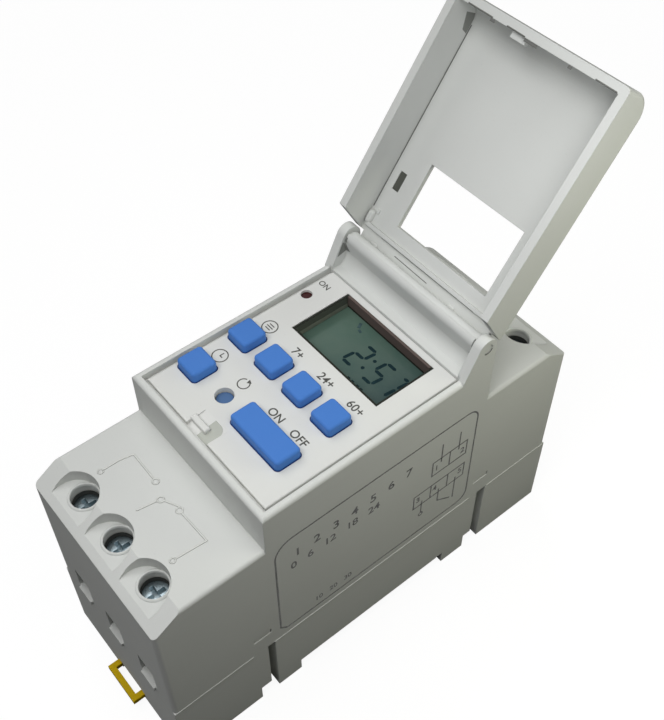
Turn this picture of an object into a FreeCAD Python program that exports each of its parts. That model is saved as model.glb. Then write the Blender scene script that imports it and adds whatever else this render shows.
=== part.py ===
import FreeCAD, Part
import math
import os
import re
import Sketcher

# Weekly timer switch for a DIN rail, two modules wide, drawn with its lid open.
# X runs across the width, Y from the three-terminal end to the hinge end, Z up from
# the face that lies against the rail. Heights in the sheet are measured from the feet.

os.makedirs("parts", exist_ok=True)
doc = FreeCAD.newDocument("timer_switch")
sheet = doc.addObject("Spreadsheet::Sheet", "Sizes")
Vector = FreeCAD.Vector

# Driving dimensions in millimetres, and angles in degrees
SIZES = {
    # case outline
    "case_width": 36.0,
    "case_length": 88.8,
    "shoulder_height": 49.0,
    "end_slope_run": 5.3,
    "end_slope_drop": 3.4,
    "deck_near": 23.5,
    "deck_far": 24.0,
    "deck_height": 57.8,
    "parting_height": 18.1,
    "wall": 1.8,
    "edge_round": 0.7,
    "corner_round": 0.9,
    # front panel
    "rim_width": 1.2,
    "groove_width": 0.7,
    "groove_depth": 0.7,
    "panel_drop": 0.6,
    "panel_thickness": 1.6,
    "cove_run": 3.2,
    "cove_rise": 0.9,
    "cove_round": 3.0,
    "face_round": 0.25,
    # hinge and lid
    "hinge_rise": 5.35,
    "ear_radius": 2.0,
    "ear_thickness": 1.8,
    "ear_angle": 65.0,
    "pin_radius": 0.95,
    "running_gap": 0.05,
    "side_gap": 0.4,
    "barrel_radius": 1.2,
    "barrel_gap": 0.35,
    "web_thickness": 1.2,
    "stop_gap": 0.2,
    "lid_angle": 126.0,
    "lid_under": 1.67,
    "lid_plate": 0.96,
    "lid_wall": 1.5,
    "lid_setback": 0.4,
    "lid_round": 4.0,
    "lid_back": 0.7,
    "rib_inset": 3.3,
    "rib_thickness": 0.7,
    "rib_height": 0.6,
    "lid_window_inset": 0.35,
    "led_slot_width": 1.5,
    "led_slot_length": 3.5,
    "led_slot_shift": 0.7,
    "led_slot_drop": 1.1,
    # latch
    "latch_x": -3.2,
    "latch_width": 3.0,
    "latch_reach": 1.1,
    "latch_lift": 0.7,
    "latch_thickness": 1.0,
    "nub_width": 4.0,
    "nub_shift": 0.1,
    "nub_length": 1.2,
    "nub_setback": 0.95,
    "nub_height": 0.35,
    "scoop_width": 5.7,
    "scoop_shift": 1.25,
    "scoop_length": 4.0,
    "scoop_depth": 0.7,
    # display
    "lcd_left_margin": 5.9,
    "lcd_right_margin": 4.1,
    "lcd_far_margin": 1.3,
    "lcd_window_length": 12.6,
    "lcd_recess": 2.7,
    "lcd_margin": 1.7,
    "lcd_thickness": 2.2,
    "lcd_frame_wall": 0.6,
    "bezel_lip": 0.45,
    "zebra_height": 3.2,
    "zebra_thickness": 1.6,
    "led_margin": 1.4,
    "led_rise": 0.5,
    "led_radius": 1.0,
    # keys
    "key_margin": 0.65,
    "key_pitch": 7.5,
    "key_row_gap": 4.9,
    "row_pitch": 10.2,
    "key_width": 5.0,
    "key_length": 4.9,
    "key_round": 0.7,
    "key_proud": 1.9,
    "key_gap": 0.15,
    "key_flange": 0.35,
    "key_flange_height": 1.0,
    "key_bevel": 0.55,
    "stem_width": 3.0,
    "key_travel": 0.5,
    "reset_shift": 0.15,
    "reset_radius": 1.65,
    "reset_depth": 1.0,
    # display board
    "display_board_thickness": 1.2,
    "switch_width": 6.0,
    "switch_height": 3.5,
    "plunger_radius": 1.7,
    "plunger_rise": 0.8,
    "plunger_depth": 1.4,
    "board_gap": 0.3,
    "boss_radius": 1.9,
    "boss_inset": 1.8,
    "board_screw_radius": 0.8,
    "board_screw_head": 1.4,
    # rail side
    "rail_channel": 36.0,
    "rail_recess": 3.1,
    "rail_flange": 1.0,
    "base_floor": 1.6,
    "slit_near": 23.3,
    "slit_near_width": 1.6,
    "slit_far": 25.7,
    "slit_far_width": 2.2,
    "notch_height": 3.8,
    "notch_near_length": 2.3,
    "notch_far_length": 1.9,
    "lip_height": 1.7,
    "lip_thickness": 1.2,
    "lip_gap": 0.12,
    "hook_reach": 1.5,
    "hook_width": 14.0,
    "hook_under": 0.5,
    "hook_gap": 0.2,
    # snap hooks
    "snap_rise": 4.3,
    "snap_window": 1.3,
    "snap_length": 3.7,
    "snap_near_y": -25.75,
    "snap_far_y": 25.9,
    # clip
    "clip_width": 9.0,
    "clip_thickness": 1.1,
    "clip_height": 0.9,
    "clip_gap": 0.15,
    "clip_nose": 1.5,
    "clip_overhang": 2.4,
    "clip_bar": 1.15,
    "clip_loop_opening": 3.4,
    "clip_lip": 1.1,
    "spring_pocket_wall": 4.4,
    "spring_length": 9.4,
    "spring_radius": 1.1,
    "spring_wire": 0.4,
    "spring_turns": 6.0,
    # terminals
    "terminal_pitch": 10.3,
    "terminal_shift": 0.3,
    "terminal_inset": 5.1,
    "driver_hole": 2.6,
    "recess_radius": 4.5,
    "recess_shift": 1.9,
    "recess_drop": 2.5,
    "boss_step": 0.4,
    "seat_depth": 5.5,
    "seat_thickness": 1.4,
    "tower_radius": 3.8,
    "screw_head_radius": 2.45,
    "screw_head_height": 2.6,
    "screw_radius": 1.75,
    "screw_slot": 0.8,
    "screw_slot_depth": 1.2,
    "cage_width": 7.4,
    "cage_length": 6.0,
    "cage_wall": 1.2,
    "cage_top": 1.6,
    "cage_window": 8.6,
    "entry_rise": 1.8,
    "entry_width": 4.8,
    "entry_height": 5.4,
    "sill_proud": 0.45,
    "sill_thickness": 0.8,
    "bar_rise": 6.1,
    "bar_thickness": 1.0,
    "bar_width": 3.8,
    "bar_reach": 5.9,
    "divider": 1.0,
    "divider_length": 9.0,
    # power board
    "power_board_thickness": 1.6,
    "power_board_edge": 0.6,
    "relay_side_gap": 1.45,
    "relay_can_gap": 0.25,
    "relay_length": 16.0,
    "relay_height": 15.5,
    "relay_y": -7.0,
    "relay_wall": 0.7,
    "relay_base_thickness": 1.4,
    "coil_radius": 4.4,
    "coil_height": 9.6,
    "coil_flange_radius": 5.2,
    "coil_flange_thickness": 1.2,
    "core_radius": 1.55,
    "core_head_radius": 3.0,
    "core_head_thickness": 0.6,
    "yoke_thickness": 1.0,
    "yoke_gap": 1.3,
    "yoke_width": 9.0,
    "armature_thickness": 1.0,
    "armature_width": 8.0,
    "armature_gap": 0.6,
    "armature_heel": 0.6,
    "film_side_gap": 1.7,
    "film_gap": 2.0,
    "film_length": 8.5,
    "film_height": 14.0,
    "film_y": 9.0,
    "can_radius": 5.0,
    "can_height": 16.0,
    "can_side_gap": 1.2,
    "can_y": -7.0,
    "varistor_radius": 4.5,
    "varistor_thickness": 3.6,
    "varistor_side_gap": 1.7,
    "varistor_y": 8.0,
    "resistor_radius": 1.2,
    "resistor_length": 6.4,
    "resistor_y": 18.0,
    "resistor_side_gap": 1.6,
    "lead_radius": 0.3,
    "leg_radius": 0.4,
    "lead_reach": 1.0,
    "diode_radius": 1.3,
    "diode_length": 5.0,
    "diode_y": 25.0,
    "diode_pitch": 6.5,
    "link_y": -18.6,
    "link_pitch": 2.0,
    "link_pin": 0.35,
    "link_block": 2.4,
    "chip_size": 10.0,
    "chip_height": 1.4,
    "chip_x": -8.0,
    "chip_y": -2.0,
    "crystal_radius": 1.0,
    "crystal_length": 6.0,
    "cell_radius": 7.5,
    "cell_height": 5.2,
    "cell_x": 6.5,
    "cell_y": 9.5,
    "tab_thickness": 0.3,
    "tab_width": 4.0,
}

# Places and sizes that follow from the driving dimensions
FORMULAS = {
    "half_width": "case_width / 2",
    "end": "case_length / 2",
    "inner_x": "half_width - wall",
    "inner_end": "end - wall",
    "end_top": "shoulder_height - end_slope_drop",
    "slope_foot": "end - end_slope_run",
    "panel_top": "deck_height - panel_drop",
    "panel_under": "panel_top - panel_thickness",
    "panel_step": "panel_top - groove_depth",
    "panel_half": "half_width - rim_width - groove_width",
    "rim_inner": "half_width - rim_width",
    "rim_near": "0 - deck_near + rim_width",
    "hinge_y": "deck_far - ear_radius",
    "hinge_height": "deck_height + hinge_rise",
    "cove_top": "hinge_y - barrel_radius",
    "cove_foot": "cove_top - cove_run",
    "ear_inner": "half_width - ear_thickness",
    "barrel_half": "ear_inner - side_gap",
    "ear_top_y": "hinge_y - ear_radius * sin(ear_angle)",
    "ear_top_z": "hinge_height + ear_radius * cos(ear_angle)",
    "ear_foot": "ear_top_y - (ear_top_z - deck_height) / tan(ear_angle)",
    "wall_top": "hinge_height - barrel_radius - barrel_gap",
    "plate_under": "hinge_height + lid_under",
    "plate_top": "plate_under + lid_plate",
    "lid_end": "0 - deck_near + lid_setback",
    "stop_height": "hinge_height - lid_back * sin(180 - lid_angle)"
                   " - (lid_under + lid_plate) * cos(180 - lid_angle) - stop_gap",
    "stop_y": "hinge_y + web_thickness / 2",
    "face_near": "rim_near + groove_width",
    "scoop_x": "latch_x + scoop_shift",
    "nub_x": "latch_x + nub_shift",
    "lcd_left": "0 - panel_half + lcd_left_margin",
    "lcd_right": "panel_half - lcd_right_margin",
    "lcd_window_width": "lcd_right - lcd_left",
    "lcd_window_x": "(lcd_left + lcd_right) / 2",
    "lcd_far": "cove_foot - lcd_far_margin",
    "lcd_near": "lcd_far - lcd_window_length",
    "lcd_window_y": "lcd_far - lcd_window_length / 2",
    "led_x": "0 - panel_half + led_margin",
    "led_y": "lcd_window_y + led_rise",
    "key_first_x": "0 - panel_half + key_margin + key_width / 2",
    "key_row_y": "lcd_near - key_row_gap - key_length / 2",
    "low_row_y": "key_row_y - row_pitch",
    "long_key_width": "key_pitch + key_width",
    "long_key_x": "key_first_x + 2.5 * key_pitch",
    "reset_x": "key_first_x + key_pitch + reset_shift",
    "lcd_top": "panel_top - lcd_recess",
    "lcd_under": "lcd_top - lcd_thickness",
    "board_top": "lcd_under - zebra_height",
    "board_under": "board_top - display_board_thickness",
    "lcd_half_x": "lcd_window_width / 2 + lcd_margin",
    "lcd_half_y": "lcd_window_length / 2 + lcd_margin",
    "frame_half_x": "lcd_half_x + key_gap + lcd_frame_wall",
    "frame_half_y": "lcd_half_y + key_gap + lcd_frame_wall",
    "switch_top": "board_top + switch_height",
    "plunger_top": "switch_top + plunger_rise",
    "flange_top": "panel_under - running_gap",
    "flange_under": "flange_top - key_flange_height",
    "key_top": "panel_top + key_proud",
    "board_near": "0 - deck_near + wall + board_gap",
    "board_far": "deck_far - wall - board_gap",
    "boss_x": "inner_x - boss_inset",
    "boss_near": "0 - deck_near + wall + boss_radius - boss_step",
    "boss_far": "deck_far - wall - boss_radius + boss_step",
    "rail_edge": "rail_channel / 2",
    "hook_top": "rail_recess - rail_flange - hook_gap",
    "slit_near_end": "slit_near + slit_near_width",
    "slit_far_end": "slit_far + slit_far_width",
    "mid_floor": "rail_recess + base_floor",
    "lip_top": "parting_height + lip_height",
    "snap_height": "parting_height + snap_rise",
    "lip_outer": "inner_x - lip_gap",
    "lip_inner": "lip_outer - lip_thickness",
    "clip_half": "clip_width / 2",
    "clip_top": "clip_height + clip_thickness",
    "channel_half": "clip_half + clip_gap",
    "channel_top": "clip_top + clip_gap",
    "pocket_half": "spring_radius + spring_wire / 2 + clip_gap",
    "spring_axis": "channel_top + spring_radius + spring_wire / 2",
    "pocket_top": "spring_axis + spring_radius + spring_wire / 2 + clip_gap",
    "block_floor": "pocket_top + 1.2",
    "spring_pocket_end": "end - spring_pocket_wall",
    "clip_loop_end": "end + clip_overhang",
    "tab_near": "0 - spring_pocket_end + spring_length + 2 * clip_gap",
    "recess_floor": "shoulder_height - recess_drop",
    "slab_under": "recess_floor - wall",
    "terminal_y": "end - terminal_inset",
    "seat_height": "recess_floor - seat_depth",
    "seat_under": "seat_height - seat_thickness",
    "entry_sill": "parting_height + entry_rise",
    "bar_height": "entry_sill + bar_rise",
    "bar_end": "terminal_y - bar_reach",
    "cage_half": "cage_width / 2",
    "cage_floor": "entry_sill - running_gap * 10",
    "cage_under": "cage_floor - cage_wall",
    "cage_ceiling": "cage_floor + cage_window",
    "screw_under": "seat_height + running_gap",
    "screw_top": "screw_under + screw_head_height",
    "screw_tip": "bar_height + bar_thickness + board_gap",
    "power_under": "lip_top",
    "power_top": "power_under + power_board_thickness",
    "power_board_half": "bar_end + bar_thickness + power_board_edge",
    "can_x": "inner_x - can_side_gap - can_radius",
    "relay_left": "0 - inner_x + relay_side_gap",
    "relay_right": "can_x - can_radius - relay_can_gap",
    "relay_width": "relay_right - relay_left",
    "relay_x": "(relay_left + relay_right) / 2",
    "relay_floor": "power_top + relay_base_thickness",
    "yoke_x": "relay_right - relay_wall - yoke_gap - yoke_thickness",
    "pivot_x": "yoke_x + yoke_thickness / 2",
    "coil_x": "yoke_x - running_gap - coil_flange_radius",
    "coil_top": "relay_floor + coil_height",
    "core_top": "coil_top + core_head_thickness",
    "armature_under": "core_top + armature_gap",
    "varistor_x": "inner_x - varistor_side_gap - varistor_radius",
    "film_left": "0 - inner_x + film_side_gap",
    "film_right": "varistor_x - varistor_radius - film_gap",
    "resistor_pitch": "inner_x - resistor_length / 2 - lead_reach - leg_radius - resistor_side_gap",
}


def fill_sheet():
    for number, (name, value) in enumerate(SIZES.items(), start=1):
        sheet.set(f"A{number}", name)
        sheet.set(f"B{number}", str(value))
        sheet.setAlias(f"B{number}", name)
    doc.recompute()


def formula(text):
    """Writes a formula in terms of the sheet's cells."""
    def swap(found):
        word = found.group(0)
        if word in FORMULAS:
            return "(" + formula(FORMULAS[word]) + ")"
        if word in SIZES:
            return "Sizes." + word
        return word
    return re.sub(r"[A-Za-z_][A-Za-z_0-9]*", swap, str(text))


def number(text):
    """Works out a formula's present value."""
    return float(sheet.evalExpression(formula(text)))


def bind(target, place, text):
    target.setExpression(place, formula(text))


def block(name, x, y, z):
    """A box between two planes along each axis."""
    made = doc.addObject("Part::Box", name)
    for side, place, (low, high) in (("Length", "x", x), ("Width", "y", y), ("Height", "z", z)):
        bind(made, side, f"({high}) - ({low})")
        bind(made, "Placement.Base." + place, low)
    return made


def about(centre, half):
    """The span that reaches equally far to both sides of a place."""
    return (f"{centre} - ({half})", f"{centre} + ({half})")


def block_at(name, centre, half, z):
    """A box centred on a point in plan, with its half sizes along X and Y."""
    return block(name, about(centre[0], half[0]), about(centre[1], half[1]), z)


TURNS = {
    "X": FreeCAD.Rotation(Vector(0, 1, 0), 90),
    "Y": FreeCAD.Rotation(Vector(1, 0, 0), -90),
    "Z": FreeCAD.Rotation(),
}


def rod(name, axis, centre, radius, span):
    """A cylinder along an axis; the centre gives the other two places in X, Y, Z order."""
    made = doc.addObject("Part::Cylinder", name)
    made.Placement = FreeCAD.Placement(Vector(), TURNS[axis])
    bind(made, "Radius", radius)
    bind(made, "Height", f"({span[1]}) - ({span[0]})")
    across = [place for place in "xyz" if place != axis.lower()]
    for place, text in zip(across, centre):
        bind(made, "Placement.Base." + place, text)
    bind(made, "Placement.Base." + axis.lower(), span[0])
    return made


def fuse(name, parts):
    made = doc.addObject("Part::MultiFuse", name)
    made.Shapes = parts
    return made


def cut(name, base, tools):
    made = doc.addObject("Part::Cut", name)
    made.Base = base
    made.Tool = tools[0] if len(tools) == 1 else fuse(name + "_tools", tools)
    return made


def group(name, parts):
    """Separate solids that share one node."""
    made = doc.addObject("Part::Compound", name)
    made.Links = parts
    return made


PLANES = {"XY": "XY_Plane", "XZ": "XZ_Plane", "YZ": "YZ_Plane"}


def new_body(name):
    return doc.addObject("PartDesign::Body", name)


def new_sketch(owner, name, plane, offset):
    sketch = owner.newObject("Sketcher::SketchObject", name)
    for feature in owner.Origin.OriginFeatures:
        if feature.Role == PLANES[plane]:
            sketch.AttachmentSupport = [(feature, "")]
    sketch.MapMode = "FlatFace"
    bind(sketch, "AttachmentOffset.Base.z", offset)
    return sketch


def pin_point(sketch, line, end, place):
    """Ties a point of the sketch to its two formulas."""
    for kind, text in zip(("DistanceX", "DistanceY"), place):
        index = sketch.addConstraint(Sketcher.Constraint(kind, -1, 1, line, end, number(text)))
        bind(sketch, f"Constraints[{index}]", text)


def draw_polygon(sketch, points):
    first = sketch.GeometryCount
    places = [Vector(number(a), number(b), 0) for a, b in points]
    count = len(points)
    for index in range(count):
        line = Part.LineSegment(places[index], places[(index + 1) % count])
        sketch.addGeometry(line, False)
    for index in range(count):
        following = first + (index + 1) % count
        sketch.addConstraint(Sketcher.Constraint("Coincident", first + index, 2, following, 1))
    for index, point in enumerate(points):
        pin_point(sketch, first + index, 1, point)


def draw_rectangle(sketch, a, b):
    draw_polygon(sketch, [(a[0], b[0]), (a[1], b[0]), (a[1], b[1]), (a[0], b[1])])


def draw_circle(sketch, centre, radius):
    place = Vector(number(centre[0]), number(centre[1]), 0)
    index = sketch.addGeometry(Part.Circle(place, Vector(0, 0, 1), number(radius)), False)
    pin_point(sketch, index, 3, centre)
    constraint = sketch.addConstraint(Sketcher.Constraint("Radius", index, number(radius)))
    bind(sketch, f"Constraints[{constraint}]", radius)


def extrude(owner, kind, name, plane, span, draw):
    """Pads or pockets an outline between two planes; span runs along the sketch's normal."""
    removing = kind == "Pocket"
    sketch = new_sketch(owner, name + "_outline", plane, span[1] if removing else span[0])
    draw(sketch)
    made = owner.newObject("PartDesign::" + kind, name)
    made.Profile = sketch
    bind(made, "Length", f"({span[1]}) - ({span[0]})")
    doc.recompute()
    return made


def edges_where(shape, **wanted):
    """Names the edges whose ends all lie on the wanted planes."""
    names = []
    for index, edge in enumerate(shape.Edges, start=1):
        ends = [vertex.Point for vertex in edge.Vertexes]
        if len(ends) == 2 and all(abs(getattr(end, axis) - value) < 0.01
                                  for end in ends for axis, value in wanted.items()):
            names.append(f"Edge{index}")
    return names


def round_edges(owner, name, radius, names, kind="Fillet"):
    made = owner.newObject("PartDesign::" + kind, name)
    made.Base = (owner.Tip if owner.Tip != made else owner.Group[-2], names)
    bind(made, "Radius" if kind == "Fillet" else "Size", radius)
    doc.recompute()
    return made


NODES = []


def finish(node, made):
    """Names a finished piece and lowers it so that the rail's face lies at Z = 0."""
    made.Label = node
    heights = [text for place, text in made.ExpressionEngine if place.endswith("Placement.Base.z")]
    height = heights[0] if heights else "0"
    made.setExpression("Placement.Base.z", f"{height} - Sizes.rail_recess")
    NODES.append(made)
    return made


def mirrored(side, text):
    """A place at the near end (side -1) or the far end (side 1)."""
    return f"{side} * ({text})"


def ends(side, low, high):
    """A span between two distances from the middle, towards one end."""
    return (mirrored(side, low), mirrored(side, high))[::side]


TERMINALS = [
    (1, -1, "terminal_shift - terminal_pitch"),
    (2, -1, "terminal_shift"),
    (3, -1, "terminal_shift + terminal_pitch"),
    (4, 1, "0 - terminal_pitch"),
    (5, 1, "terminal_pitch"),
]

SMALL_KEYS = [
    ("clock", "key_first_x", "low_row_y"),
    ("program", "key_first_x", "key_row_y"),
    ("day", "key_first_x + key_pitch", "key_row_y"),
    ("hour", "key_first_x + 2 * key_pitch", "key_row_y"),
    ("minute", "key_first_x + 3 * key_pitch", "key_row_y"),
]
KEYS = SMALL_KEYS + [("manual", "long_key_x", "low_row_y"), ("reset", "reset_x", "low_row_y")]


def key_half(key):
    """Half the key's width along X."""
    return "long_key_width / 2" if key == "manual" else "key_width / 2"


def case_outline():
    """The solid outer form of the upper case."""
    owner = new_body("case_outline")
    profile = [
        ("0 - end", "parting_height"),
        ("0 - end", "end_top"),
        ("0 - slope_foot", "shoulder_height"),
        ("0 - deck_near", "shoulder_height"),
        ("0 - deck_near", "deck_height"),
        ("deck_far", "deck_height"),
        ("deck_far", "shoulder_height"),
        ("slope_foot", "shoulder_height"),
        ("end", "end_top"),
        ("end", "parting_height"),
    ]
    extrude(owner, "Pad", "case_block", "YZ", ("0 - half_width", "half_width"),
            lambda sketch: draw_polygon(sketch, profile))
    shape = owner.Shape
    corners = []
    for side in (-1, 1):
        for far in (-1, 1):
            corners += edges_where(shape, x=side * number("half_width"), y=far * number("end"))
    round_edges(owner, "case_corners", "corner_round", corners)
    shape = owner.Shape
    tops = edges_where(shape, z=number("deck_height"), y=-number("deck_near"))
    for side in (-1, 1):
        x = side * number("half_width")
        tops += edges_where(shape, x=x, z=number("deck_height"))
        tops += edges_where(shape, x=x, z=number("shoulder_height"))
    round_edges(owner, "case_tops", "edge_round", tops)
    return owner


def case_cavity():
    """The hollow of the upper case, open below."""
    owner = new_body("case_cavity")
    profile = [
        ("0 - inner_end", "parting_height - wall"),
        ("0 - inner_end", "end_top - wall"),
        ("0 - slope_foot", "shoulder_height - wall"),
        ("0 - deck_near + wall", "shoulder_height - wall"),
        ("0 - deck_near + wall", "panel_under"),
        ("deck_far - wall", "panel_under"),
        ("deck_far - wall", "shoulder_height - wall"),
        ("slope_foot", "shoulder_height - wall"),
        ("inner_end", "end_top - wall"),
        ("inner_end", "parting_height - wall"),
    ]
    extrude(owner, "Pad", "cavity_block", "YZ", ("0 - inner_x", "inner_x"),
            lambda sketch: draw_polygon(sketch, profile))
    return owner


def hinge_wall():
    """The coved wall under the lid's barrel, with the ledge that stops the open lid."""
    owner = new_body("hinge_wall")
    profile = [
        ("cove_foot", "panel_under"),
        ("cove_foot", "panel_top"),
        ("cove_top", "panel_top + cove_rise"),
        ("cove_top", "wall_top"),
        ("stop_y", "wall_top"),
        ("stop_y", "stop_height"),
        ("deck_far", "stop_height"),
        ("deck_far", "panel_under"),
    ]
    extrude(owner, "Pad", "wall_block", "YZ", ("0 - ear_inner - 0.1", "ear_inner + 0.1"),
            lambda sketch: draw_polygon(sketch, profile))
    inner = edges_where(owner.Shape, y=number("cove_top"), z=number("panel_top + cove_rise"))
    round_edges(owner, "cove", "cove_round", inner)
    lips = edges_where(owner.Shape, y=number("cove_top"), z=number("wall_top"))
    round_edges(owner, "cove_lip", "edge_round * 0.6", lips)
    return owner


def ear(side):
    """One of the two cheeks that hold the lid's pins."""
    name = f"ear_{'left' if side < 0 else 'right'}"
    owner = new_body(name)
    profile = [
        ("ear_foot", "deck_height"),
        ("ear_top_y", "ear_top_z"),
        ("hinge_y", "hinge_height"),
        ("hinge_y + ear_radius", "hinge_height"),
        ("hinge_y + ear_radius", "panel_under"),
        ("ear_foot", "panel_under"),
    ]
    span = ("ear_inner", "half_width") if side > 0 else ("0 - half_width", "0 - ear_inner")
    extrude(owner, "Pad", name + "_cheek", "YZ", span, lambda sketch: draw_polygon(sketch, profile))
    extrude(owner, "Pad", name + "_eye", "YZ", span,
            lambda sketch: draw_circle(sketch, ("hinge_y", "hinge_height"), "ear_radius"))
    return owner


def screw_tower(which, side, x):
    """The tube under a driver hole, with the seat that the screw's head rests on."""
    y = mirrored(side, "terminal_y")
    return rod(f"tower_{which}", "Z", (x, y), "tower_radius", ("seat_under", "slab_under + 0.5"))


def terminal_slab(side, span):
    """The thicker shelf under the shoulder that the terminal recesses are cut into."""
    name = f"terminal_slab_{side + 1}"
    owner = new_body(name)
    profile = [
        ("terminal_y - tower_radius", "slab_under"),
        ("terminal_y - tower_radius", "shoulder_height - wall + 0.3"),
        ("slope_foot", "shoulder_height - wall + 0.3"),
        ("inner_end + 0.2", "recess_floor"),
        ("inner_end + 0.2", "slab_under"),
    ]
    extrude(owner, "Pad", name + "_block", "YZ", span,
            lambda sketch: draw_polygon(sketch, [(mirrored(side, y), z) for y, z in profile]))
    return owner


def terminal_holes(which, side, x):
    """The recess, the driver hole, the hole in the seat and the wire entry of a terminal."""
    y = mirrored(side, "terminal_y")
    recess = (x, mirrored(side, "terminal_y + recess_shift"))
    return [
        rod(f"recess_{which}", "Z", recess, "recess_radius", ("recess_floor", "shoulder_height + 1")),
        rod(f"driver_{which}", "Z", (x, y), "driver_hole", ("seat_height", "shoulder_height")),
        rod(f"shank_{which}", "Z", (x, y), "screw_radius + 2 * running_gap",
            ("seat_under - 1", "seat_height + 1")),
        block(f"entry_{which}", about(x, "entry_width / 2"), ends(side, "inner_end - 1", "end + 1"),
              ("entry_sill", "entry_sill + entry_height")),
    ]


def dividers():
    """The walls that part the terminals inside the case."""
    height = ("power_top + board_gap", "slab_under + running_gap")
    near = ("0 - inner_end - 0.2", "0 - inner_end + divider_length")
    far = ("inner_end - divider_length", "inner_end + 0.2")
    return [
        block("divider_near_1", about("terminal_shift - terminal_pitch / 2", "divider / 2"), near, height),
        block("divider_near_2", about("terminal_shift + terminal_pitch / 2", "divider / 2"), near, height),
        block("divider_far", about("0", "divider / 2"), far, height),
    ]


def main_case():
    """The upper case with its deck, hinge, screw towers and snap windows."""
    shell = cut("case_shell", case_outline(), [case_cavity()])
    added = [shell, hinge_wall(), ear(-1), ear(1)] + dividers()
    removed = [
        block("panel_seat", ("0 - rim_inner", "rim_inner"), ("rim_near", "cove_foot"),
              ("panel_under", "deck_height + 1")),
        rod("hinge_bore", "X", ("hinge_y", "hinge_height"), "pin_radius + running_gap",
            ("0 - half_width - 1", "half_width + 1")),
    ]
    for side in (-1, 1):
        added.append(terminal_slab(side, ("0 - inner_x - 0.2", "inner_x + 0.2")))
        rail = ends(side, "inner_x - 1", "inner_x + 0.2")
        added.append(block(f"board_rail_{side + 1}", rail, ("board_near + 4", "board_far - 4"),
                           ("board_under - 1.2", "board_under")))
        for place in ("boss_near", "boss_far"):
            spot = (mirrored(side, "boss_x"), place)
            added.append(rod(f"{place}_{side + 1}", "Z", spot, "boss_radius",
                             ("board_top", "panel_under + 0.2")))
            removed.append(rod(f"{place}_bore_{side + 1}", "Z", spot, "board_screw_radius",
                               ("board_top - 1", "panel_under - 1.5")))
        for place in ("snap_near_y", "snap_far_y"):
            wall_span = ends(side, "inner_x - 0.5", "half_width + 1")
            removed.append(block(f"{place}_window_{side + 1}", wall_span, about(place, "snap_length / 2"),
                                 ("snap_height", "snap_height + snap_window")))
    for which, side, x in TERMINALS:
        added.append(screw_tower(which, side, x))
        added.append(block(f"sill_{which}", about(x, "entry_width / 2 - edge_round / 2"),
                           ends(side, "end - 0.5", "end + sill_proud"),
                           ("entry_sill - sill_thickness", "entry_sill")))
        removed += terminal_holes(which, side, x)
    finish("main_case", cut("main_case", fuse("case_built", added), removed))


def snap_hook(side, place):
    """A springy arm on the base whose nub shows in the case's window."""
    width = about(place, "snap_length / 2 - key_gap")
    arm = block(f"{place}_arm_{side + 1}", ends(side, "lip_inner", "lip_outer"), width,
                ("parting_height - 1", "snap_height + snap_window"))
    nub = block(f"{place}_nub_{side + 1}", ends(side, "lip_inner + 0.3", "half_width - key_gap"), width,
                ("snap_height + key_gap", "snap_height + snap_window - key_gap"))
    return [arm, nub]


def base_boxes():
    """The three hollow boxes that hang under the case, between the slits."""
    spans = {
        "near": ("0 - end", "0 - slit_near_end", "block_floor"),
        "middle": ("0 - slit_near", "slit_far", "mid_floor"),
        "far": ("slit_far_end", "end", "wall"),
    }
    boxes = []
    for name, (low, high, floor) in spans.items():
        outer = block(f"base_{name}", ("0 - half_width", "half_width"), (low, high), ("0", "parting_height"))
        hollow = block(f"base_{name}_hollow", ("0 - inner_x", "inner_x"), (f"{low} + wall", f"{high} - wall"),
                       (floor, "parting_height + 1"))
        boxes.append(cut(f"base_{name}_box", outer, [hollow]))
    return boxes


def base_joints():
    """The webs over the slits, the lips that fit inside the case and the snap hooks."""
    webs = {
        "near": ("0 - slit_near_end - wall", "0 - slit_near + wall"),
        "far": ("slit_far - wall", "slit_far_end + wall"),
    }
    made = []
    for name, span in webs.items():
        made.append(block(f"web_{name}", ("0 - lip_outer", "lip_outer"), span, ("parting_height", "lip_top")))
    lip_span = ("0 - inner_end + cage_length + 2", "inner_end - cage_length - 2")
    for side in (-1, 1):
        made.append(block(f"lip_{side + 1}", ends(side, "lip_inner", "lip_outer"), lip_span,
                          ("parting_height - 1", "lip_top")))
        made.append(block(f"lip_foot_{side + 1}", ends(side, "lip_inner", "half_width"),
                          ("0 - slit_near", "slit_far"), ("parting_height - 3", "parting_height")))
        for place in ("snap_near_y", "snap_far_y"):
            made += snap_hook(side, place)
    return made


def rail_side_cuts():
    """What the rail, the clip and its spring need out of the base."""
    across = ("0 - half_width - 1", "half_width + 1")
    through = ("0 - end - 1", "0 - rail_edge + 1")
    hook_start = "rail_edge - hook_reach"
    hook_root = (f"{hook_start} - 0.1", "rail_edge")
    cuts = [
        block("rail_channel", across, ("0 - rail_edge", hook_start), ("0 - 1", "rail_recess")),
        block("hook_throat", across, hook_root, ("hook_top", "rail_recess + hook_gap")),
        block("hook_relief", across, hook_root, ("0 - 1", "hook_under")),
        block("notch_near", across, ("0 - slit_near_end - notch_near_length", "0 - slit_near_end + 0.5"),
              ("0 - 1", "notch_height")),
        block("notch_far", across, ("slit_far - notch_far_length", "slit_far + 0.5"),
              ("0 - 1", "notch_height")),
        block("nose_relief", about("0", "channel_half + clip_gap"),
              ("0 - rail_edge", "0 - rail_edge + clip_nose + hook_gap"), ("0 - 1", "rail_recess + hook_gap")),
        block("clip_channel", about("0", "channel_half"), through, ("clip_height - clip_gap", "channel_top")),
        block("clip_mouth", about("0", "channel_half - clip_lip"), through, ("0 - 1", "clip_height")),
        block("spring_pocket", about("0", "pocket_half"), ("0 - spring_pocket_end", "tab_near + 2"),
              ("clip_height", "pocket_top")),
    ]
    for side in (-1, 1):
        beside = ends(side, "hook_width / 2", "half_width + 1")
        cuts.append(block(f"hook_side_{side + 1}", beside, hook_root, ("0 - 1", "rail_recess")))
    return cuts


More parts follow.
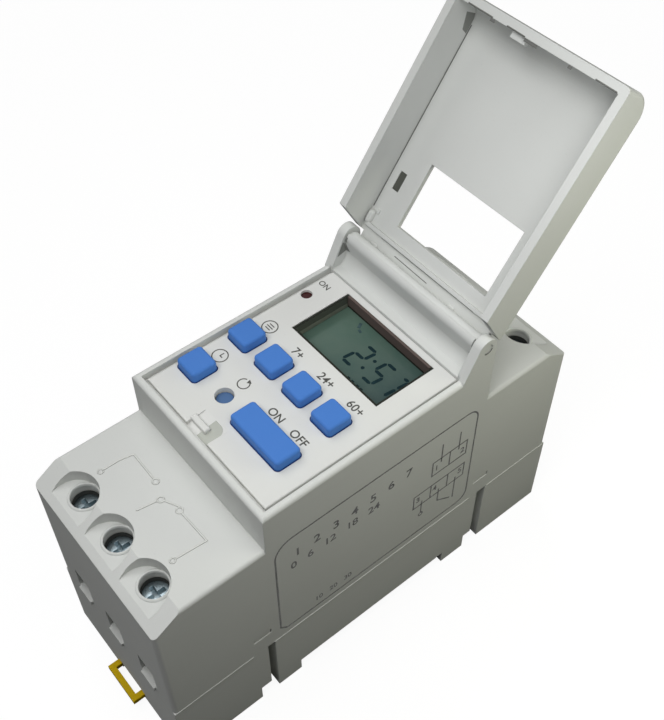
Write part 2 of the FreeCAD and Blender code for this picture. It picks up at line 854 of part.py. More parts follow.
def base_case():
    """The rail side of the housing."""
    built = fuse("base_built", base_boxes() + base_joints())
    finish("base_case", cut("base_case", built, rail_side_cuts()))


def front_panel():
    """The inset panel: a lower flange in the case's rim and a raised face inside the groove."""
    owner = new_body("front_panel")
    far = "cove_foot - running_gap"
    flange_x = about("0", "rim_inner - running_gap")
    extrude(owner, "Pad", "panel_flange", "XY", ("panel_under", "panel_step"),
            lambda sketch: draw_rectangle(sketch, flange_x, ("rim_near + running_gap", far)))
    extrude(owner, "Pad", "panel_face", "XY", ("panel_step - 0.2", "panel_top"),
            lambda sketch: draw_rectangle(sketch, about("0", "panel_half"), ("face_near", far)))
    shape = owner.Shape
    rim = edges_where(shape, y=number("face_near"), z=number("panel_top"))
    for side in (-1, 1):
        rim += edges_where(shape, x=side * number("panel_half"), z=number("panel_top"))
    round_edges(owner, "panel_face_round", "face_round", rim)
    scoop = [
        ("face_near", "panel_top - scoop_depth"),
        ("face_near + scoop_length", "panel_top"),
        ("face_near + scoop_length", "panel_top + 1"),
        ("face_near - 0.1", "panel_top + 1"),
        ("face_near - 0.1", "panel_top - scoop_depth"),
    ]
    extrude(owner, "Pocket", "latch_scoop", "YZ", about("scoop_x", "scoop_width / 2"),
            lambda sketch: draw_polygon(sketch, scoop))

    def openings(sketch):
        draw_rectangle(sketch, about("lcd_window_x", "lcd_window_width / 2"),
                       about("lcd_window_y", "lcd_window_length / 2"))
        for key, x, y in KEYS[:-1]:
            across = about(x, key_half(key) + " + key_gap")
            draw_rectangle(sketch, across, about(y, "key_length / 2 + key_gap"))
        draw_circle(sketch, ("reset_x", "low_row_y"), "reset_radius")
        draw_circle(sketch, ("led_x", "led_y"), "led_radius + running_gap")

    extrude(owner, "Pocket", "panel_openings", "XY", ("panel_under - 1", "panel_top + 1"), openings)
    shape = owner.Shape
    corners = []
    for key, x, y in KEYS[:-1]:
        across = about(x, key_half(key) + " + key_gap")
        along = about(y, "key_length / 2 + key_gap")
        for corner_x in across:
            for corner_y in along:
                corners += edges_where(shape, x=number(corner_x), y=number(corner_y))
    round_edges(owner, "key_hole_round", "key_round + key_gap", corners)
    nub_y = ("face_near + nub_setback", "face_near + nub_setback + nub_length")
    extrude(owner, "Pad", "latch_nub", "XY", ("panel_step", "panel_top + nub_height"),
            lambda sketch: draw_rectangle(sketch, about("nub_x", "nub_width / 2"), nub_y))
    nub_edges = edges_where(owner.Shape, z=number("panel_top + nub_height"))
    round_edges(owner, "latch_nub_round", "nub_height * 0.9", nub_edges)
    finish("front_panel", owner)


def build_key(key, x, y):
    """A keycap with its flange under the panel and a stem down to its switch."""
    owner = new_body("key_" + key)

    def outline(grow):
        if key == "reset":
            return lambda sketch: draw_circle(sketch, (x, y), f"reset_radius - key_gap + {grow}")
        across = about(x, f"{key_half(key)} + {grow}")
        along = about(y, f"key_length / 2 + {grow}")
        return lambda sketch: draw_rectangle(sketch, across, along)

    top = "panel_top - reset_depth" if key == "reset" else "key_top"
    extrude(owner, "Pad", key + "_cap", "XY", ("flange_under", top), outline("0"))
    if key != "reset":
        shape = owner.Shape
        corners = []
        for corner_x in about(x, key_half(key)):
            for corner_y in about(y, "key_length / 2"):
                corners += edges_where(shape, x=number(corner_x), y=number(corner_y))
        round_edges(owner, key + "_corners", "key_round", corners)
        round_edges(owner, key + "_bevel", "key_bevel", edges_where(owner.Shape, z=number(top)))
    extrude(owner, "Pad", key + "_flange", "XY", ("flange_under", "flange_top"), outline("key_flange"))
    stem = "stem_width / 2"
    extrude(owner, "Pad", key + "_stem", "XY", ("plunger_top", "flange_under + 0.2"),
            lambda sketch: draw_rectangle(sketch, about(x, stem), about(y, stem)))
    finish("key_" + key, owner)


def build_keys():
    """The keys, and under each its push switch: a can on the board and a plunger."""
    switches = []
    foot = "switch_top - plunger_depth"
    for key, x, y in KEYS:
        build_key(key, x, y)
        plunger = rod("plunger_" + key, "Z", (x, y), "plunger_radius", (foot, "plunger_top"))
        finish("plunger_" + key, plunger)
        can = block_at("switch_can_" + key, (x, y), ("switch_width / 2", "switch_width / 2"),
                       ("board_top", "switch_top"))
        well = rod("switch_well_" + key, "Z", (x, y), "plunger_radius + running_gap",
                   (f"{foot} - key_travel - board_gap", "switch_top + 1"))
        switches.append(cut("switch_" + key, can, [well]))
    finish("tact_switches", group("tact_switches", switches))


def display():
    """The glass, its dark frame, the contact strips, the lamp and the board under them."""
    centre = ("lcd_window_x", "lcd_window_y")
    finish("lcd_glass", block_at("lcd_glass", centre, ("lcd_half_x", "lcd_half_y"), ("lcd_under", "lcd_top")))
    frame = block_at("frame_block", centre, ("frame_half_x", "frame_half_y"), ("board_top", "panel_under"))
    collar = block_at("frame_collar", centre,
                      ("lcd_window_width / 2 - running_gap", "lcd_window_length / 2 - running_gap"),
                      ("panel_under - 0.2", "panel_top - 0.15"))
    bed = block_at("frame_bed", centre, ("lcd_half_x + key_gap", "lcd_half_y + key_gap"),
                   ("board_top - 1", "lcd_top"))
    view_half = ("lcd_window_width / 2 - bezel_lip", "lcd_window_length / 2 - bezel_lip")
    view = block_at("frame_view", centre, view_half, ("lcd_top - 1", "panel_top + 1"))
    finish("lcd_frame", cut("lcd_frame", fuse("frame_solid", [frame, collar]), [bed, view]))
    strips = []
    for side in (-1, 1):
        spot = ("lcd_window_x", f"lcd_window_y + {side} * (lcd_half_y - zebra_thickness)")
        strips.append(block_at(f"zebra_{side + 1}", spot, ("lcd_half_x - 1", "zebra_thickness / 2"),
                               ("board_top", "lcd_under")))
    finish("contact_strips", group("contact_strips", strips))
    dome = rod("led_barrel", "Z", ("led_x", "led_y"), "led_radius", ("board_top", "panel_top - 0.5"))
    foot = rod("led_foot", "Z", ("led_x", "led_y"), "led_radius + 0.35", ("board_top", "panel_under - 0.5"))
    finish("status_led", fuse("status_led", [dome, foot]))


def display_board():
    """The board behind the panel, its screws and what it carries underneath."""
    plate = block("display_plate", about("0", "inner_x - board_gap"), ("board_near", "board_far"),
                  ("board_under", "board_top"))
    holes = link_holes("display", ("board_under - 1", "board_top + 1"))
    screws = []
    for side in (-1, 1):
        for place in ("boss_near", "boss_far"):
            spot = (mirrored(side, "boss_x"), place)
            name = f"{place}_{side + 1}"
            holes.append(rod(f"hole_{name}", "Z", spot, "board_screw_radius + 0.2",
                             ("board_under - 1", "board_top + 1")))
            head = rod(f"head_{name}", "Z", spot, "board_screw_head", ("board_under - 1", "board_under"))
            shank = rod(f"thread_{name}", "Z", spot, "board_screw_radius - running_gap",
                        ("board_under - 0.5", "panel_under - 2.5"))
            screws.append(fuse(f"screw_{name}", [head, shank]))
    finish("display_board", cut("display_board", plate, holes))
    finish("board_screws", group("board_screws", screws))
    half = "chip_size / 2"
    finish("controller_chip", block_at("controller_chip", ("chip_x", "chip_y"), (half, half),
                                       ("board_under - chip_height", "board_under")))
    beside_chip = "chip_y + chip_size / 2 + 2 * crystal_radius"
    finish("clock_crystal", rod("clock_crystal", "X", (beside_chip, "board_under - crystal_radius"),
                                "crystal_radius", about("chip_x", "crystal_length / 2")))
    backup_cell()


def backup_cell():
    """The button cell that keeps the time, between its two tabs."""
    cell_top = "board_under - tab_thickness"
    cell_under = "board_under - tab_thickness - cell_height"
    finish("backup_cell", rod("backup_cell", "Z", ("cell_x", "cell_y"), "cell_radius",
                              (cell_under, cell_top)))
    width = about("cell_y", "tab_width / 2")
    outer = "cell_x - cell_radius - board_gap"
    upper = block("tab_upper", about("cell_x", "cell_radius - 1"), width, (cell_top, "board_under"))
    lower = block("tab_lower", (f"{outer} - tab_thickness", "cell_x + 2"), width,
                  (f"{cell_under} - tab_thickness", cell_under))
    riser = block("tab_riser", (f"{outer} - tab_thickness", outer), width,
                  (f"{cell_under} - tab_thickness", "board_under"))
    finish("cell_tabs", group("cell_tabs", [upper, fuse("tab_bent", [lower, riser])]))


LINKS = range(-2, 3)


def link_holes(name, height):
    """Holes for the row of stiff wires between the two boards."""
    return [rod(f"{name}_link_hole_{index + 2}", "Z", (f"{index} * link_pitch", "link_y"),
                "link_pin + running_gap", height) for index in LINKS]


def board_link():
    """The row of stiff wires between the two boards, with a block at each end."""
    pins = [rod(f"link_pin_{index + 2}", "Z", (f"{index} * link_pitch", "link_y"), "link_pin",
                ("power_under - 0.8", "board_top + 0.8")) for index in LINKS]
    finish("link_wires", group("link_wires", pins))
    half = ("2.5 * link_pitch", "link_block / 2")
    blocks = []
    for name, height in (("lower", ("power_top", "power_top + link_block")),
                         ("upper", ("board_under - link_block", "board_under"))):
        solid = block_at("link_" + name, ("0", "link_y"), half, height)
        blocks.append(cut(f"link_{name}_block", solid, link_holes(name, height)))
    finish("link_blocks", group("link_blocks", blocks))


def power_board():
    """The mains board, notched round the snap hooks, with its tall parts."""
    plate = block("power_plate", about("0", "inner_x - board_gap"), about("0", "power_board_half"),
                  ("power_under", "power_top"))
    through = ("power_under - 1", "power_top + 1")
    holes = link_holes("power", through)
    for side in (-1, 1):
        for place in ("snap_near_y", "snap_far_y"):
            holes.append(block(f"{place}_gap_{side + 1}", ends(side, "lip_inner - board_gap", "half_width"),
                               about(place, "snap_length / 2 + board_gap"), through))
    finish("power_board", cut("power_board", plate, holes))
    finish("film_capacitor", block("film_capacitor", ("film_left", "film_right"),
                                   about("film_y", "film_length / 2"),
                                   ("power_top", "power_top + film_height")))
    finish("smoothing_capacitor", rod("smoothing_capacitor", "Z", ("can_x", "can_y"), "can_radius",
                                      ("power_top", "power_top + can_height")))
    finish("varistor", rod("varistor", "Y", ("varistor_x", "power_top + varistor_radius"), "varistor_radius",
                           about("varistor_y", "varistor_thickness / 2")))
    resistors = [leaded(f"resistor_{index + 1}", "X", (f"{index} * resistor_pitch", "resistor_y"),
                        "resistor_radius", "resistor_length") for index in (-1, 0, 1)]
    finish("resistors", group("resistors", resistors))
    diodes = [leaded(f"diode_{index}", "Y", (f"({index} - 1.5) * diode_pitch", "diode_y"),
                     "diode_radius", "diode_length") for index in range(4)]
    finish("rectifier_diodes", group("rectifier_diodes", diodes))


def leaded(name, axis, centre, radius, length):
    """A small round part lying on the power board, held by its two bent leads."""
    x, y = centre
    lift = f"power_top + {radius} + board_gap"
    reach = f"{length} / 2 + lead_reach"
    along, across = (x, y) if axis == "X" else (y, x)
    body = rod(name + "_body", axis, (across, lift), radius, about(along, f"{length} / 2"))
    lead = rod(name + "_lead", axis, (across, lift), "lead_radius", about(along, reach))
    legs = []
    for end in (-1, 1):
        foot = f"{along} + {end} * ({reach})"
        spot = (foot, across) if axis == "X" else (across, foot)
        top = f"{lift} + leg_radius"
        legs.append(rod(f"{name}_leg_{end + 1}", "Z", spot, "leg_radius", ("power_top", top)))
    return fuse(name, [body, lead] + legs)


def relay():
    """The switching relay: cover, base, coil on its core, yoke and the tilting armature."""
    shell_x = ("relay_left", "relay_right")
    shell_y = about("relay_y", "relay_length / 2")
    cover = block("relay_shell", shell_x, shell_y, ("power_top", "power_top + relay_height"))
    hollow = block("relay_hollow", about("relay_x", "relay_width / 2 - relay_wall"),
                   about("relay_y", "relay_length / 2 - relay_wall"),
                   ("power_top - 1", "power_top + relay_height - relay_wall"))
    finish("relay_cover", cut("relay_cover", cover, [hollow]))
    finish("relay_base", block("relay_base", about("relay_x", "relay_width / 2 - relay_wall - running_gap"),
                               about("relay_y", "relay_length / 2 - relay_wall - running_gap"),
                               ("power_top", "relay_floor")))
    spot = ("coil_x", "relay_y")
    bobbin = fuse("coil_body", [
        rod("coil_winding", "Z", spot, "coil_radius", ("relay_floor", "coil_top")),
        rod("coil_flange_low", "Z", spot, "coil_flange_radius",
            ("relay_floor", "relay_floor + coil_flange_thickness")),
        rod("coil_flange_high", "Z", spot, "coil_flange_radius",
            ("coil_top - coil_flange_thickness", "coil_top")),
    ])
    bore = rod("coil_hole", "Z", spot, "core_radius + running_gap", ("relay_floor - 1", "coil_top + 1"))
    finish("relay_coil", cut("relay_coil", bobbin, [bore]))
    core = rod("core_rod", "Z", spot, "core_radius", ("relay_floor", "core_top"))
    head = rod("core_head", "Z", spot, "core_head_radius", ("coil_top", "core_top"))
    finish("relay_core", fuse("relay_core", [core, head]))
    pivot = ("pivot_x", "armature_under")
    yoke_post = block("yoke_post", about("pivot_x", "yoke_thickness / 2"), about("relay_y", "yoke_width / 2"),
                      ("relay_floor", "armature_under"))
    yoke_edge = rod("yoke_edge", "Y", pivot, "yoke_thickness / 2", about("relay_y", "yoke_width / 2"))
    finish("relay_yoke", fuse("relay_yoke", [yoke_post, yoke_edge]))
    plate_span = ("coil_x - coil_flange_radius", "yoke_x + yoke_thickness + armature_heel")
    plate = block("armature_plate", plate_span, about("relay_y", "armature_width / 2"),
                  ("armature_under", "armature_under + armature_thickness"))
    saddle = rod("armature_saddle", "Y", pivot, "yoke_thickness / 2 + running_gap",
                 about("relay_y", "armature_width"))
    finish("relay_armature", cut("relay_armature", plate, [saddle]))


def terminal(which, side, x):
    """One terminal: the captive screw with its cross slot, and the cage that it lifts."""
    spot = (x, mirrored(side, "terminal_y"))
    head = rod(f"screw_head_{which}", "Z", spot, "screw_head_radius", ("screw_under", "screw_top"))
    shank = rod(f"screw_shank_{which}", "Z", spot, "screw_radius", ("screw_tip", "seat_height + 1"))
    slot_depth = ("screw_top - screw_slot_depth", "screw_top + 1")
    arm = "screw_head_radius - screw_slot"
    slots = [
        block_at(f"screw_slot_x_{which}", spot, (arm, "screw_slot / 2"), slot_depth),
        block_at(f"screw_slot_y_{which}", spot, ("screw_slot / 2", arm), slot_depth),
    ]
    screw = fuse(f"screw_solid_{which}", [head, shank])
    finish(f"terminal_screw_{which}", cut(f"terminal_screw_{which}", screw, slots))
    cage = block_at(f"cage_block_{which}", spot, ("cage_half", "cage_length / 2"),
                    ("cage_under", "cage_ceiling + cage_top"))
    window = block_at(f"cage_window_{which}", spot, ("cage_half - cage_wall", "cage_length"),
                      ("cage_floor", "cage_ceiling"))
    thread = rod(f"cage_thread_{which}", "Z", spot, "screw_radius + running_gap",
                 ("cage_ceiling - 1", "cage_ceiling + cage_top + 1"))
    finish(f"terminal_cage_{which}", cut(f"terminal_cage_{which}", cage, [window, thread]))


def contact_bars():
    """The fixed strips that the cages pull the wires up against."""
    bars = []
    for which, side, x in TERMINALS:
        width = about(x, "bar_width / 2")
        top = "bar_height + bar_thickness"
        flat = block(f"bar_flat_{which}", width, ends(side, "bar_end", "inner_end - board_gap"),
                     ("bar_height", top))
        leg = block(f"bar_leg_{which}", width, ends(side, "bar_end", "bar_end + bar_thickness"),
                    ("power_top", top))
        bars.append(fuse(f"bar_{which}", [flat, leg]))
    finish("contact_bars", group("contact_bars", bars))


def din_clip():
    """The sliding rail clip with its pull loop, its nose and the tab that loads the spring."""
    owner = new_body("din_clip")
    z = ("clip_height", "clip_top")
    extrude(owner, "Pad", "clip_plate", "XY", z,
            lambda sketch: draw_rectangle(sketch, ("0 - clip_half", "clip_half"),
                                          ("0 - clip_loop_end", "0 - rail_edge + clip_nose")))
    extrude(owner, "Pocket", "clip_loop", "XY", ("clip_height - 1", "clip_top + 1"),
            lambda sketch: draw_rectangle(sketch, ("0 - clip_half + clip_bar", "clip_half - clip_bar"),
                                          ("0 - clip_loop_end + clip_bar",
                                           "0 - clip_loop_end + clip_bar + clip_loop_opening")))
    extrude(owner, "Pad", "clip_tab", "XY", ("clip_top - 0.2", "pocket_top - clip_gap"),
            lambda sketch: draw_rectangle(sketch, ("0 - pocket_half + clip_gap", "pocket_half - clip_gap"),
                                          ("tab_near", "tab_near + 1")))
    finish("din_clip", owner)


def clip_spring():
    """A compression spring from quarter-turn arcs, swept as one unbroken wire."""
    radius = number("spring_radius")
    wire = number("spring_wire / 2")
    length = number("spring_length") - 2 * wire
    turns = int(number("spring_turns"))
    start = -number("spring_pocket_end") + number("clip_gap") + wire
    height = number("spring_axis")
    steps = 4 * turns
    pitch = length / turns

    def point(quarter):
        angle = math.pi / 2 * quarter
        along = start + pitch * quarter / 4
        return Vector(radius * math.cos(angle), along, height + radius * math.sin(angle))

    edges = []
    for quarter in range(steps):
        edges.append(Part.Arc(point(quarter), point(quarter + 0.5), point(quarter + 1)).toShape())
    path = Part.Wire(edges)
    tangent = path.Edges[0].tangentAt(path.Edges[0].FirstParameter)
    ring = Part.Wire(Part.Circle(point(0), tangent, wire).toShape())
    made = doc.addObject("Part::Feature", "clip_spring")
    made.Shape = path.makePipeShell([ring], True, False)
    print("clip spring: least gap between turns", round(pitch - 2 * wire, 3), "mm")
    finish("clip_spring", made)


def lid_solid(name, inset, low, high):
    """A block with the lid's rounded free end, drawn closed and used twice."""
    owner = new_body(name)
    near = f"lid_end + {inset}"
    profile = [
        (near, low),
        (near, high),
        ("hinge_y + lid_back", high),
        ("hinge_y + lid_back", low),
    ]
    half = f"half_width - {inset}"
    extrude(owner, "Pad", name + "_block", "YZ", (f"0 - ({half})", half),
            lambda sketch: draw_polygon(sketch, profile))
    return owner


def lid():
    """The flip cover, drawn closed and turned open about the hinge axis."""
    outer = lid_solid("lid_outer", "0", "deck_height", "plate_top")
    free_top = edges_where(outer.Shape, y=number("lid_end"), z=number("plate_top"))
    round_edges(outer, "lid_nose", "lid_round", free_top)
    corners = []
    for side in (-1, 1):
        corners += edges_where(outer.Shape, x=side * number("half_width"), y=number("lid_end"))
    round_edges(outer, "lid_corners", "corner_round", corners)
    tray = lid_solid("lid_tray", "lid_wall", "deck_height - 1", "plate_under")
    tray_top = edges_where(tray.Shape, y=number("lid_end + lid_wall"), z=number("plate_under"))
    round_edges(tray, "tray_nose", "lid_round - lid_wall", tray_top)
    shell = cut("lid_shell", outer, [tray])
    clear = new_body("ear_clearance")
    slope = [
        ("ear_foot - side_gap - (deck_height - panel_under) / tan(ear_angle)", "panel_under"),
        ("ear_foot - side_gap + (plate_under - deck_height) / tan(ear_angle)", "plate_under"),
        ("ear_foot - side_gap + (plate_under - deck_height) / tan(ear_angle)", "plate_top + 1"),
        ("hinge_y + lid_back + 1", "plate_top + 1"),
        ("hinge_y + lid_back + 1", "panel_under"),
    ]
    extrude(clear, "Pad", "clearance_block", "YZ", ("0 - half_width - 1", "half_width + 1"),
            lambda sketch: draw_polygon(sketch, slope))
    keep = block("clearance_keep", ("0 - barrel_half", "barrel_half"), ("0", "hinge_y + 3"),
                 ("plate_under", "plate_top + 2"))
    trimmed = cut("lid_trimmed", shell, [cut("ear_space", clear, [keep])])
    hinge = ("hinge_y", "hinge_height")
    barrel_x = about("0", "barrel_half")
    barrel = rod("lid_barrel", "X", hinge, "barrel_radius", barrel_x)
    pins = rod("lid_pins", "X", hinge, "pin_radius", about("0", "half_width - key_gap"))
    web = block("lid_web", barrel_x, about("hinge_y", "web_thickness / 2"),
                ("hinge_height", "plate_under + 0.3"))
    rib = block("lid_rib", barrel_x, about("hinge_y - rib_inset", "rib_thickness / 2"),
                ("plate_under - rib_height", "plate_under + 0.2"))
    tongue = block("lid_tongue", about("latch_x", "latch_width / 2"),
                   ("lid_end + lid_wall - 0.2", "lid_end + lid_wall + latch_reach"),
                   ("deck_height + latch_lift", "deck_height + latch_lift + latch_thickness"))
    built = fuse("lid_built", [trimmed, barrel, pins, web, rib, tongue])
    through = ("plate_under - 1", "plate_top + 1")
    window = block("lid_window", ("lcd_left + lid_window_inset", "lcd_right - lid_window_inset"),
                   ("lcd_near", "lcd_far - lid_window_inset"), through)
    slot = block_at("lid_slot", ("led_x + led_slot_shift", "led_y - led_slot_drop"),
                    ("led_slot_width / 2", "led_slot_length / 2"), through)
    made = cut("lid", built, [window, slot])
    made.Placement = FreeCAD.Placement(Vector(), FreeCAD.Rotation(Vector(1, 0, 0), -number("lid_angle")))
    bind(made, "Placement.Base.y", "hinge_y - hinge_y * cos(lid_angle) - hinge_height * sin(lid_angle)")
    bind(made, "Placement.Base.z", "hinge_height + hinge_y * sin(lid_angle) - hinge_height * cos(lid_angle)")
    finish("lid", made)


fill_sheet()
main_case()
base_case()
front_panel()
build_keys()
display()
display_board()
board_link()
power_board()
relay()
for which, side, x in TERMINALS:
    terminal(which, side, x)
contact_bars()
din_clip()
clip_spring()
lid()
doc.recompute()

faults = [made.Name for made in doc.Objects if "Invalid" in made.State or "Error" in made.State]
for made in NODES:
    if made.Shape.isNull() or not made.Shape.isValid() or not made.Shape.Solids:
        faults.append(made.Label)
if faults:
    raise RuntimeError("failed objects: " + ", ".join(faults))
for made in NODES:
    made.Shape.exportStep(f"parts/{made.Label}.step")
    print(made.Label, len(made.Shape.Solids), round(made.Shape.Volume, 1))
print(len(NODES), "nodes")
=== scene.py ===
"""Looks of a two-module rail timer switch with its lid open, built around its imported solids."""
import math

import bmesh
import bpy
from mathutils import Matrix, Vector


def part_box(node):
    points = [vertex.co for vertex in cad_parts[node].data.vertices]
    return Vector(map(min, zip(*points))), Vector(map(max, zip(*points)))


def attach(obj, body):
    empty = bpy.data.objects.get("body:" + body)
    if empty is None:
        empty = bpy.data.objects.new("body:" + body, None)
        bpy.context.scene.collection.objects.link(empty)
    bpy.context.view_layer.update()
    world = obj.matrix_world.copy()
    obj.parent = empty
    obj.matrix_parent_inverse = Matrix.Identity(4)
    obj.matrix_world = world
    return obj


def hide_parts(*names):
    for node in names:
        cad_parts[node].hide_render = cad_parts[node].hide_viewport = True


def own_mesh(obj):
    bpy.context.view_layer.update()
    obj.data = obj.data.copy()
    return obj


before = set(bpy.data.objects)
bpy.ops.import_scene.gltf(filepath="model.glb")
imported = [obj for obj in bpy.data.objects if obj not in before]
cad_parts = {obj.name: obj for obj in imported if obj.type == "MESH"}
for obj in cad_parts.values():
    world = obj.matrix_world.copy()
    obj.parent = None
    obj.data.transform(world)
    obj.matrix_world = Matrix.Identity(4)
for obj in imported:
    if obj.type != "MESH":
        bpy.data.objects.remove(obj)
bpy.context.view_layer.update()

# Lengths are in millimetres, except those of the lamps and the camera. Heights are measured from the feet,
# which stand at FEET in the part's frame.
MM = 0.001
FEET = -3.1
PANEL_TOP = 57.2
GLASS_TOP = 54.5
SHOULDER_TOP = 49.0
RECESS_FLOOR = 46.5
PARTING = 18.1
SIDE_FACE = 18.0
INK_THICKNESS = 0.02

# The open lid: its inner face lies LID_FACE behind the hinge line and its rim LID_RIM before it, and LID_INNER
# is half the width between its walls.
HINGE_Y = 22.0
HINGE_Z = 63.15
LID_OPEN = math.radians(126.0)
LID_FACE = 1.67
LID_RIM = 5.35
LID_INNER = 16.5


# Shader nodes.

def linear(value):
    """Linear light of one 0 to 255 display value."""
    value /= 255.0
    return value / 12.92 if value <= 0.04045 else ((value + 0.055) / 1.055) ** 2.4


def colour(red, green, blue):
    return (linear(red), linear(green), linear(blue), 1.0)


def tinted(shade, factor):
    return tuple(min(1.0, c * factor) for c in shade[:3]) + (1.0,)


class Nodes:
    """The shader nodes of a material or a world, added and linked by short calls."""

    def __init__(self, owner, output):
        owner.use_nodes = True
        self.owner = owner
        self.tree = owner.node_tree
        self.tree.nodes.clear()
        self.output = self.add(output)

    def add(self, kind, inputs=None, **settings):
        node = self.tree.nodes.new(kind)
        for key, value in settings.items():
            setattr(node, key, value)
        for key, value in (inputs or {}).items():
            self.feed(node.inputs[key], value)
        return node

    def feed(self, socket, value):
        if isinstance(value, bpy.types.NodeSocket):
            self.tree.links.new(value, socket)
        else:
            socket.default_value = value

    def maths(self, operation, first, second):
        return self.add("ShaderNodeMath", {0: first, 1: second}, operation=operation).outputs[0]

    def seen_ray(self):
        """One where the camera or a mirrored or transmitted ray looks, nought for light between surfaces."""
        path = self.add("ShaderNodeLightPath")
        seen = self.maths("MAXIMUM", path.outputs["Is Camera Ray"], path.outputs["Is Glossy Ray"])
        return self.maths("MAXIMUM", seen, path.outputs["Is Transmission Ray"])


class Look(Nodes):
    """A material under construction. Scales of noise and waves count per metre."""

    def __init__(self, name):
        super().__init__(bpy.data.materials.new(name), "ShaderNodeOutputMaterial")
        self.object_place = self.add("ShaderNodeTexCoord").outputs["Object"]

    def noise(self, scale, detail=2.0, stretch=None):
        place = self.object_place
        if stretch:
            place = self.add("ShaderNodeMapping", {"Vector": place, "Scale": stretch}).outputs["Vector"]
        return self.add("ShaderNodeTexNoise",
                        {"Vector": place, "Scale": scale, "Detail": detail}).outputs["Fac"]

    def wave(self, scale, distortion, direction="X"):
        return self.add("ShaderNodeTexWave",
                        {"Vector": self.object_place, "Scale": scale, "Distortion": distortion},
                        bands_direction=direction).outputs["Fac"]

    def ramp(self, factor, low, high, start=0.0, end=1.0):
        """A number that goes from start to end while factor goes from low to high."""
        return self.add("ShaderNodeMapRange", {"Value": factor, "From Min": low, "From Max": high,
                                               "To Min": start, "To Max": end}, clamp=True).outputs["Result"]

    def mottle(self, scale, low, high, start, end, detail=2.0):
        """A number that wanders between start and end over the surface, by noise between low and high."""
        return self.ramp(self.noise(scale, detail), low, high, start, end)

    def mix(self, factor, first, second):
        """A colour between two; the node's colours are its sockets 6 and 7, and the mixed one its output 2."""
        return self.add("ShaderNodeMix", {0: factor, 6: first, 7: second}, data_type="RGBA").outputs[2]

    def soft_normal(self, radius):
        return self.add("ShaderNodeBevel", {"Radius": radius * MM}, samples=4).outputs["Normal"]

    def edge_mask(self, radius):
        """One near an outer or inner edge, nought on the flats."""
        soft = self.soft_normal(radius)
        flat = self.add("ShaderNodeNewGeometry").outputs["Normal"]
        product = self.add("ShaderNodeVectorMath", {0: soft, 1: flat}, operation="DOT_PRODUCT")
        return self.ramp(product.outputs["Value"], 0.999, 0.93)

    def shaded_in_crevices(self, base, crevice_shade_colour, reach, amount):
        """The base colour, with painted shade over it in corners and holes, where ambient occlusion finds them.
        """
        shade = self.add("ShaderNodeAmbientOcclusion", {"Distance": reach * MM}, samples=4, only_local=False)
        return self.mix(self.maths("MULTIPLY", self.ramp(shade.outputs["AO"], 0.72, 0.20), amount), base, crevice_shade_colour)

    def bump(self, height, depth, strength=1.0, normal=None):
        inputs = {"Height": height, "Distance": depth * MM, "Strength": strength}
        if normal is not None:
            inputs["Normal"] = normal
        return self.add("ShaderNodeBump", inputs).outputs["Normal"]

    def surface(self, **values):
        shader = self.add("ShaderNodeBsdfPrincipled")
        for key, value in values.items():
            self.feed(shader.inputs[key.replace("_", " ")], value)
        self.feed(self.output.inputs["Surface"], shader.outputs[0])
        return self.owner


# Finishes.

def moulded(name, shade, rough=0.42, vary=0.035, grain=0.006, edge_highlight=0.10, crease_shade=0.30, gloss=0.0,
            soften=0.16):
    """Moulded plastic: fine spark-eroded grain, slow colour drift, a patchy painted highlight along the edges,
    and painted shade in the corners.
    """
    look = Look(name)
    base = look.mix(look.noise(70.0, 3.0), tinted(shade, 1.0 - vary), tinted(shade, 1.0 + vary))
    base = look.mix(look.mottle(2600.0, 0.70, 0.78, 0.0, 0.12, detail=1.0), base, tinted(shade, 0.72))
    # Painted shade: darker and warmer in corners and holes.
    crevice_shade_colour = (shade[0] * 0.62, shade[1] * 0.60, shade[2] * 0.56, 1.0)
    base = look.shaded_in_crevices(base, crevice_shade_colour, 1.4, crease_shade)
    # Painted highlight: lighter along the edges, in patches.
    highlight_patches = look.maths("MULTIPLY", look.edge_mask(0.22), look.mottle(420.0, 0.3, 0.6, 0.4, 1.0))
    base = look.mix(look.maths("MULTIPLY", highlight_patches, edge_highlight * 4.0), base,
                    tinted(shade, 1.0 + edge_highlight * 1.6))
    polish = look.mottle(310.0, 0.3, 0.7, rough - 0.06, rough + 0.08, detail=4.0)
    normal = look.bump(look.noise(3800.0), grain, 1.0, look.soft_normal(soften))
    return look.surface(Base_Color=base, Roughness=polish, Normal=normal, Specular_IOR_Level=gloss)


def hollow(name, shade, vary, rough=0.6):
    """Matt moulded plastic with no painted edge highlight, for the darker pieces, most of which are painted
    shade in hollows, openings and corners.
    """
    return moulded(name, shade, rough=rough, vary=vary, edge_highlight=0.0)


def metal(name, shade, rough, along):
    """Plated metal with duller patches and with scratches that the factors of along draw out."""
    look = Look(name)
    base = look.mix(look.mottle(900.0, 0.42, 0.66, 0.0, 0.35, detail=4.0), shade, tinted(shade, 0.62))
    # Painted shade: darker in corners and holes.
    base = look.shaded_in_crevices(base, tinted(shade, 0.35), 0.8, 0.5)
    scratches = look.noise(5200.0, 3.0, stretch=along)
    polish = look.ramp(scratches, 0.25, 0.75, rough - 0.09, rough + 0.12)
    normal = look.bump(scratches, 0.004, 0.7, look.soft_normal(0.08))
    return look.surface(Base_Color=base, Roughness=polish, Normal=normal, Metallic=1.0)


def laminate(name, shade):
    """Board with solder mask over a faint glass weave."""
    look = Look(name)
    weave = look.maths("MULTIPLY", look.wave(620.0, 0.4), look.wave(620.0, 0.4, "Y"))
    base = look.mix(weave, tinted(shade, 0.82), tinted(shade, 1.25))
    base = look.mix(look.mottle(160.0, 0.35, 0.65, 0.0, 0.25, detail=3.0), base, tinted(shade, 0.6))
    return look.surface(Base_Color=base, Roughness=look.mottle(500.0, 0.3, 0.7, 0.22, 0.36),
                        Normal=look.bump(weave, 0.006, 0.6))


